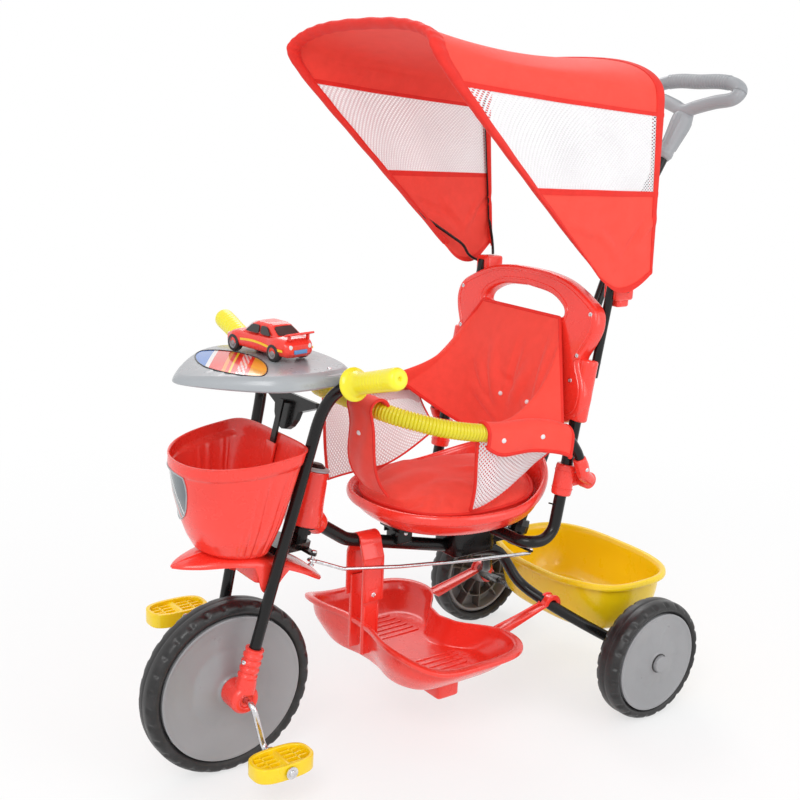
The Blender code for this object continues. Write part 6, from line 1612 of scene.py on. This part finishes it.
# Cloth pieces
def clothPiece(name, grid, thick, look, body, instead=()):
    # the grid and the same grid set back along its normal, joined round the edge; its map is in metres
    n = unit(np.cross(np.gradient(grid, axis=0), np.gradient(grid, axis=1)))
    nu, nv = grid.shape[:2]
    k = np.arange(nu * nv).reshape(nu, nv)
    top = np.stack([k[:-1, :-1], k[1:, :-1], k[1:, 1:], k[:-1, 1:]], -1).reshape(-1, 4)
    rim = np.concatenate([k[0, :-1], k[:-1, -1], k[-1, :0:-1], k[:0:-1, 0]])
    ahead = np.roll(rim, -1)
    edge = np.stack([ahead, rim, rim + nu * nv, ahead + nu * nv], -1)
    faces = np.concatenate([top, top[:, ::-1] + nu * nv, edge])
    mesh = bpy.data.meshes.new(name)
    points = np.concatenate([(grid + n * thick / 2).reshape(-1, 3), (grid - n * thick / 2).reshape(-1, 3)])
    mesh.from_pydata((points + toFrame).tolist(), [], faces.tolist())
    obj = finishObject(name, mesh, look, body, instead, 50)
    stepU = np.linalg.norm(np.diff(grid, axis=0), axis=-1)
    stepV = np.linalg.norm(np.diff(grid, axis=1), axis=-1)
    alongU = np.concatenate([[0], np.cumsum(stepU.mean(1))])[:, None] + np.zeros((1, nv))
    alongV = np.concatenate([[0], np.cumsum(stepV.mean(0))])[None, :] + np.zeros((nu, 1))
    flat = np.stack([alongU, alongV], -1).reshape(-1, 2)
    writeMap(mesh, np.concatenate([flat, flat]))
    quads = np.cross(grid[1:, 1:] - grid[:-1, :-1], grid[:-1, 1:] - grid[1:, :-1])
    return obj, (float(stepU.sum(0).max()), float(stepV.sum(1).max())), float(np.linalg.norm(quads,
        axis=-1).sum() / 2)


def layCloth(made):
    # the cloth object out of what clothPiece returns; its flat size and area are not used
    cloth, flat, area = made
    return cloth


def hemPiece(name, line, radius, side, steps=12, closed=False, flat=1.0, first=0):
    # a sewn edge: a round tape along the line, its map two of its coordinates
    hem = makePiece(name, [pipeShape(line, radius, side, steps, closed, 0.001, flat)], redTape, "frame")
    mapped(hem, lambda p: p[:, first:first + 2])
    return hem.name


def foldLine(p, q, x, y, width, height):
    # a fold: a round ridge of that height along the segment from p to q, fading at its ends
    p, q = np.array(p, float), np.array(q, float)
    d = q - p
    t = ((x - p[0]) * d[0] + (y - p[1]) * d[1]) / np.dot(d, d)
    away = np.abs((x - p[0]) * d[1] - (y - p[1]) * d[0]) / np.linalg.norm(d)
    return height * bump(away / width) * bump(np.clip(2 * t - 1, -1, 1) * 0.98)


canopy = {"thick": 0.001, "netTop": (0.942, 0.913), "netLow": (0.807, 0.801), "tape": 0.0062, "sag": 0.006,
    "crease": 0.0022}


def lineOf(heights, v):
    # the cover's s where its side stands at a height that runs from the front hoop's to the rear edge's
    z = heights[0] + (heights[1] - heights[0]) * v
    shoulder, foot = 0.97 - 0.044 * v, 0.687 + 0.003 * v - 0.026 * np.sin(math.pi * v)
    return 0.56 + 0.44 * (shoulder - z) / (shoulder - foot)


def canopyCloth(s, v, lift=0.0):
    # the surface, its crown sagging between the hoops, its sides creased aslant
    s, v = np.broadcast_arrays(np.asarray(s, float), np.asarray(v, float))
    vv = np.clip(v, 0, 1)
    p, n = canopyPoint(s, v), canopyOut(s, v)
    mid = np.sin(math.pi * vv)
    side = ease((np.abs(s) - 0.5) / 0.12)
    push = -canopy["sag"] * mid * (1 - side)
    push = push + canopy["crease"] * mid * side * (0.6 * np.sin(p[..., 1] * 62 + p[..., 2] * 41) + 0.5
        * np.sin(p[..., 1] * 33 - p[..., 2] * 58 + np.sign(s)))
    push = push + 0.0012 * (1 - side) * np.sin(s * 21 + v * 9) * mid
    x, y = p[..., 1], p[..., 2]
    for a, b, w, h in (((0.45, 0.775), (0.53, 0.7), 0.012, 0.004), ((0.565, 0.775), (0.515, 0.705), 0.01,
            -0.0036), ((0.4, 0.77), (0.505, 0.735), 0.01, 0.003), ((0.54, 0.735), (0.585, 0.775), 0.009,
            0.003)):
        push = push + foldLine(a, b, x, y, w, h) * side
    return p + n * (push + lift)[..., None]


def bend(obj):
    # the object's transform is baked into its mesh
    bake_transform(obj)


def buildCanopy():
    # crown, windows and sides are strips of one surface; tapes cover their seams
    v = np.linspace(0, 1, 110)[None, :]
    u = np.linspace(-1, 1, 260)[:, None]
    crown = clothPiece("canopy_crown", canopyCloth(u * lineOf(canopy["netTop"], v), v), canopy["thick"],
        redCloth, None, ["canopy_cover"])
    for side, word in sides:
        k = np.linspace(0, 1, 60)[:, None]
        top, low = lineOf(canopy["netTop"], v), lineOf(canopy["netLow"], v)
        net = clothPiece("canopy_window_" + word, canopyCloth(side * (top + (low - top) * k), v), 0.0007,
            whiteNet, None)
        bend(layCloth(net))
        k = np.linspace(0, 1, 70)[:, None]
        panel = clothPiece("canopy_side_" + word, canopyCloth(side * (low + (1 - low) * k), v),
            canopy["thick"], redCloth, None)
        bend(layCloth(panel))
        for kind, line in (("top", top), ("low", low), ("foot", 1 - canopy["tape"] + 0 * v)):
            k = np.linspace(-1, 1, 7)[:, None]
            tape = clothPiece("canopy_tape_%s_%s" % (kind, word),
                canopyCloth(side * (line + k * canopy["tape"]), v, 0.0003), 0.0024, redTape, None)[0]
            bend(tape)
    bend(layCloth(crown))
    # casing sewn over the front hoop, and the rear binding
    s = np.linspace(-0.985, 0.985, 320)[:, None]
    around = smoothLine([(0.052, 0.0008), (0.04, 0.0016), (0.026, 0.0026), (0.01, 0.0024), (0.001, 0.0006),
        (-0.003, -0.0028), (0.004, -0.0066), (0.018, -0.0086), (0.034, -0.0084), (0.046, -0.0046),
        (0.053, -0.002)], 3)
    grid = canopyCloth(s, around[None, :, 0], around[None, :, 1] + 0.0005 * np.sin(s * 90))
    clothPiece("canopy_front_casing", grid, 0.0009, redTape, "front_bow")
    s = np.linspace(-1, 1, 300)[:, None]
    around = smoothLine([(0.962, 0.001), (0.975, 0.0016), (0.99, 0.0014), (1.001, 0.0), (0.99, -0.0022),
        (0.972, -0.0026), (0.962, -0.002)], 3)
    around[:, 1] = np.where(around[:, 1] < -0.0005, around[:, 1] * 3.4, around[:, 1])
    clothPiece("canopy_rear_binding", canopyCloth(s, around[None, :, 0], around[None, :, 1] + 0 * s),
        0.0009, redTape, "frame")


# Back cloth of the seat
wrap = {"thick": 0.0024, "rear": 0.448, "front": 0.306, "drop": 0.03}
ringSideLine = ringLine[(ringLine[:, 0] > 0.05) & (ringLine[:, 2] > 0.46)]


def ringAt(y):
    # the ring's point beside the rider at that y
    order = np.argsort(ringSideLine[:, 1])
    r = ringSideLine[order]
    return np.stack([np.interp(y, r[:, 1], r[:, 0]), np.asarray(y) + 0 * np.asarray(y),
        np.interp(y, r[:, 1], r[:, 2])], -1)


def backCloth(u, v):
    # a panel in front of the seat back, its sides drawn forward and laid over the ring, then hanging outside
    u, v = np.broadcast_arrays(np.asarray(u, float), np.asarray(v, float))
    w, side = np.abs(2 * u - 1), np.where(u < 0.5, -1.0, 1.0)
    a = np.clip(w / 0.46, 0, 1)
    z = 0.618 - 0.205 * v
    ahead = rest["thick"] + 0.0026
    x = (0.086 + 0.05 * v ** 0.8) * a
    y = rest["y"] + (z - rest["z"]) * rest["slope"] - ahead
    y = y - (0.02 + 0.062 * v) * v * a ** 3 - 0.016 * np.sin(math.pi * v) * (1 - a * a)
    z = z + 0.068 * v ** 2 * a ** 3
    for p, q, width, height in (((-0.035, 0.575), (0.01, 0.45), 0.016, 0.0062),
            ((0.03, 0.59), (0.02, 0.455), 0.012, -0.005), ((-0.07, 0.545), (-0.01, 0.47), 0.012, 0.005),
            ((0.065, 0.56), (0.03, 0.465), 0.015, 0.0056), ((-0.075, 0.5), (0.02, 0.44), 0.013, 0.0045),
            ((0.085, 0.61), (0.095, 0.47), 0.011, 0.005), ((-0.01, 0.52), (0.045, 0.5), 0.01, -0.0035),
            ((0.055, 0.5), (0.1, 0.455), 0.012, 0.004)):
        y = y - foldLine(p, q, x * side, z, width, height)
    spot = np.stack([x, y, z], -1)
    centre = ringAt(wrap["rear"] - (wrap["rear"] - wrap["front"]) * v)
    reach = ringSize["sleeve"] + wrap["thick"] / 2 + 0.0008
    turn = np.radians(125 * (1 - np.clip((w - 0.62) / 0.22, 0, 1)))
    rim = centre + np.stack([np.cos(turn), 0 * turn, np.sin(turn)], -1) * reach
    fall = np.clip((w - 0.84) / 0.16, 0, 1)
    corner = np.sqrt(np.clip(1 - (np.clip(v - 0.8, 0, 1) / 0.2) ** 2 * 0.65, 0, 1))
    rim[..., 2] -= wrap["drop"] * fall * corner
    rim[..., 0] += 0.0022 * np.sin(v * 9.0) * fall - 0.003 * fall ** 2
    k = np.clip((w - 0.46) / 0.16, 0, 1)[..., None]
    spot = spot * (1 - k) + rim * k
    spot[..., 0] *= side
    dip = np.sin(math.pi * k[..., 0]) * np.sin(v * 8 + side) * 0.0035
    spot[..., 2] -= dip
    return spot


def snapAt(grid, target, radius=0.0036):
    # a press stud on the grid's point nearest the target
    n = unit(np.cross(np.gradient(grid, axis=0), np.gradient(grid, axis=1)))
    i, j = np.unravel_index(np.argmin(np.linalg.norm(grid - np.array(target), axis=-1)), grid.shape[:2])
    out = n[i, j] * np.sign(np.dot(n[i, j], vec(0.6, -0.75, 0.3)))
    dome = [(0, 0.0022), (radius * 0.55, 0.002), (radius * 0.86, 0.0013), (radius, 0.0002),
        (radius * 0.9, -0.001), (0, -0.001)]
    return turnedShape(dome, grid[i, j] + out * 0.0013, out, 28)


def buildBackCloth():
    # the back panel with hems and press studs, then the strap between the legs
    u, v = np.linspace(0, 1, 420)[:, None], np.linspace(0, 1, 120)[None, :]
    grid = backCloth(u, v)
    cloth = clothPiece("back_cloth", grid, wrap["thick"], redCloth, "frame", ["seat_cover_back"])
    wide, tall = np.linspace(0, 1, 300), np.linspace(0, 1, 120)
    for word, us, vs in (("top", wide, 0.012), ("bottom", wide, 0.988), ("left", 0.992, tall),
            ("right", 0.008, tall)):
        hemPiece("back_hem_" + word, evenly(backCloth(us, vs), 220), 0.0028, (0.3, 0.4, 0.8))
    layCloth(cloth)
    studs = [snapAt(grid, q) for q in ((0.01, 0.46, 0.488), (0.075, 0.45, 0.493), (0.172, 0.329, 0.472),
        (0.172, 0.398, 0.47), (-0.15, 0.4, 0.462), (-0.172, 0.398, 0.47))]
    makePiece("press_studs", studs, whitePlastic, "frame", (), 40)
    # strap: from inside the ring over the sleeve and down to the cushion's front
    reach = ringSize["sleeve"] + 0.0022
    turn = np.radians(np.linspace(-8, 205, 40))
    over = np.column_stack([0.175 + reach * np.cos(turn), 0.515 + reach * np.sin(turn)])
    start = [(0.175 + reach + 0.0005, 0.515 - k) for k in (0.014, 0.009, 0.004)]
    t = np.linspace(0.14, 1, 26)
    down = np.column_stack([0.165 + 0.004 * np.sin(t * math.pi) + 0.058 * t ** 2.2, 0.5021 - t * 0.124])
    line = evenly(smoothLine(np.vstack([start, over, down]), 3), 150)
    w = np.linspace(-1, 1, 26)[:, None]
    low = np.clip((0.5 - line[:, 1]) / 0.12, 0, 1)[None, :]
    strapX = 0.0285 * w * (1 + 0.15 * low ** 2) + 0.062 * (1 - 0.62 * ease(low))
    strapY = line[:, 0][None, :] - 0.0035 * (1 - w ** 2) * low + 0.0012 * np.sin(w * 5 + low
        * 6) + 0.004 * w ** 2 * (1 - low)
    strapGrid = np.stack([strapX + 0 * strapY, strapY, line[:, 1][None, :] + 0 * strapY - 0.0012 * w ** 2],
        -1)
    strap = clothPiece("crotch_strap_cloth", strapGrid, 0.0022, redCloth, "frame", ["crotch_strap"])
    for side, word in sides:
        hemPiece("strap_hem_" + word, evenly(strapGrid[-1 if side > 0 else 0], 120), 0.0022,
            (1, 0.2, 0), 10, first=1)
    layCloth(strap)
    makePiece("strap_stud", [snapAt(strapGrid, (0.058, 0.1655, 0.476))], whitePlastic, "frame", (), 40)


def netSide(side, front, rear):
    # net between the ring's underside and the seat's rim
    u, v = np.linspace(0, 1, 90)[:, None], np.linspace(0, 1, 60)[None, :]
    slant = (1 - v) * 0.022 * (front > 0.29)
    y = front + slant + (rear - front - slant) * u + 0 * v
    top = ringAt(y)
    bow = np.abs((y - 0.36) / 0.19)
    lowX = (seat["halfX"] - 0.018) * (1 - bow ** 2.6 * 0.35)
    topZ = top[..., 2] - ringSize["sleeve"] - 0.0003
    lowZ = 0.358 + 0.046 * np.clip((y - 0.33) / 0.1, 0, None) ** 1.5
    x = lowX + (top[..., 0] - lowX) * v ** 0.8 - 0.004 * np.sin(math.pi * v) * np.sin(math.pi
        * u) + 0.0015 * np.sin(u * 17 + v * 5) * np.sin(math.pi * v)
    return np.stack([side * x, y, lowZ + (topZ - lowZ) * v], -1)


def buildNets():
    # each net and the tapes on three of its edges
    for side, word in sides:
        grid = netSide(side, 0.3 if side > 0 else 0.222, 0.434)
        net = clothPiece("side_net_" + word, grid, 0.0008, whiteNet, "frame", ["seat_mesh_" + word])
        for part, line in (("front", grid[0]), ("low", grid[:, 0]), ("rear", grid[-1])):
            radius, across = 0.0032 if part == "front" else 0.0022, (0, 0.2, 1) if part == "low" else (0, 1,
                0)
            hemPiece("net_hem_%s_%s" % (part, word), evenly(line, 60), radius, across, flat=0.6,
                first=1)
        layCloth(net)


# Seat cushion
cushion = {"low": 0.3163, "cell": 0.005, "pressure": 4.0, "frames": 18, "most": 0.006, "mass": 0.25,
    "stiffness": 18}


def buildCushion():
    # ovals up the pad with folds pressed in, then a short cloth run blown up by its inner pressure
    rings = []
    for share, lift in smoothLine([(0.0, 0.0006), (0.6, 0.0005), (0.76, 0.007), (0.845, 0.0175),
            (0.885, 0.031), (0.865, 0.043), (0.72, 0.0525), (0.42, 0.058), (0.0, 0.06)], 4):
        flat = ovalOutline((seat["halfX"] - 0.003) * share * 0.985, (seat["halfY"] - 0.003) * share * 0.985,
            2.3, 120)
        a = angles(120)
        flat = flat * (1 - 0.014 * np.cos(5 * a) - 0.006 * np.sin(9 * a))[:, None] if share > 0.3 else flat
        back = np.clip(flat[:, 1] / seat["halfY"], 0, None)
        z = cushion["low"] + lift + 0.02 * back ** 2
        high = ease((lift - 0.035) / 0.02)
        x, y = flat[:, 0], seat["middleY"] - 0.002 + flat[:, 1]
        for p, q, width, height in (((0.0, 0.225), (0.01, 0.36), 0.032, 0.006),
                ((0.02, 0.27), (0.1, 0.4), 0.015, 0.0045), ((-0.02, 0.27), (-0.1, 0.38), 0.015, 0.0045),
                ((0.05, 0.25), (0.11, 0.33), 0.011, -0.004), ((-0.05, 0.25), (-0.11, 0.33), 0.011, -0.0035),
                ((0.0, 0.36), (0.06, 0.46), 0.014, 0.0052)):
            z = z + foldLine(p, q, x, y, width, height) * high
        rings.append(np.column_stack([x, y, z]))
    grid = np.stack(rings[1:-1])
    obj = makePiece("seat_cushion_cloth", [skin(grid)], redCloth, "frame", ["seat_cushion"])
    bpy.context.view_layer.objects.active = obj
    rise = obj.modifiers.new("even cells", "REMESH")
    rise.mode, rise.voxel_size, rise.use_smooth_shade = "VOXEL", cushion["cell"], True
    with bpy.context.temp_override(object=obj, active_object=obj, selected_objects=[obj]):
        bpy.ops.object.modifier_apply(modifier=rise.name)
    before = np.zeros(len(obj.data.vertices) * 3)
    obj.data.vertices.foreach_get("co", before)
    fill = obj.modifiers.new("fill", "CLOTH")
    fill.settings.use_pressure, fill.settings.uniform_pressure_force = True, cushion["pressure"]
    fill.settings.effector_weights.gravity = 0
    fill.settings.quality, fill.settings.mass = 4, cushion["mass"]
    fill.settings.tension_stiffness = fill.settings.compression_stiffness = cushion["stiffness"]
    fill.point_cache.frame_start, fill.point_cache.frame_end = 1, cushion["frames"]
    for frame in range(1, cushion["frames"] + 1):
        bpy.context.scene.frame_set(frame)
    ready = obj.evaluated_get(bpy.context.evaluated_depsgraph_get())
    made = ready.to_mesh()
    after = np.zeros(len(made.vertices) * 3)
    made.vertices.foreach_get("co", after)
    ready.to_mesh_clear()
    move = (after - before).reshape(-1, 3)
    size = np.linalg.norm(move, axis=1, keepdims=True)
    move *= np.minimum(1, cushion["most"] / np.maximum(size, 1e-9))
    obj.modifiers.remove(fill)
    bpy.context.scene.frame_set(1)
    obj.data.vertices.foreach_set("co", (before.reshape(-1, 3) + move).ravel())
    obj.data.update()
    soft = obj.modifiers.new("finer", "SUBSURF")
    soft.levels = soft.render_levels = 1
    with bpy.context.temp_override(object=obj, active_object=obj, selected_objects=[obj]):
        bpy.ops.object.modifier_apply(modifier=soft.name)
    obj.data.materials.clear()
    obj.data.materials.append(redCloth)
    obj.data.shade_smooth()
    mapped(obj, lambda p: p[:, :2] + p[:, 2:] * 0.6)
    welt = grid[int(np.argmax(grid[:, 0, 0]))]
    hemPiece("cushion_welt", evenly(welt, 260, closed=True), 0.0026, (0, 0, 1), closed=True)


buildCanopy()
buildBackCloth()
buildNets()
buildCushion()
print("cloths ready")
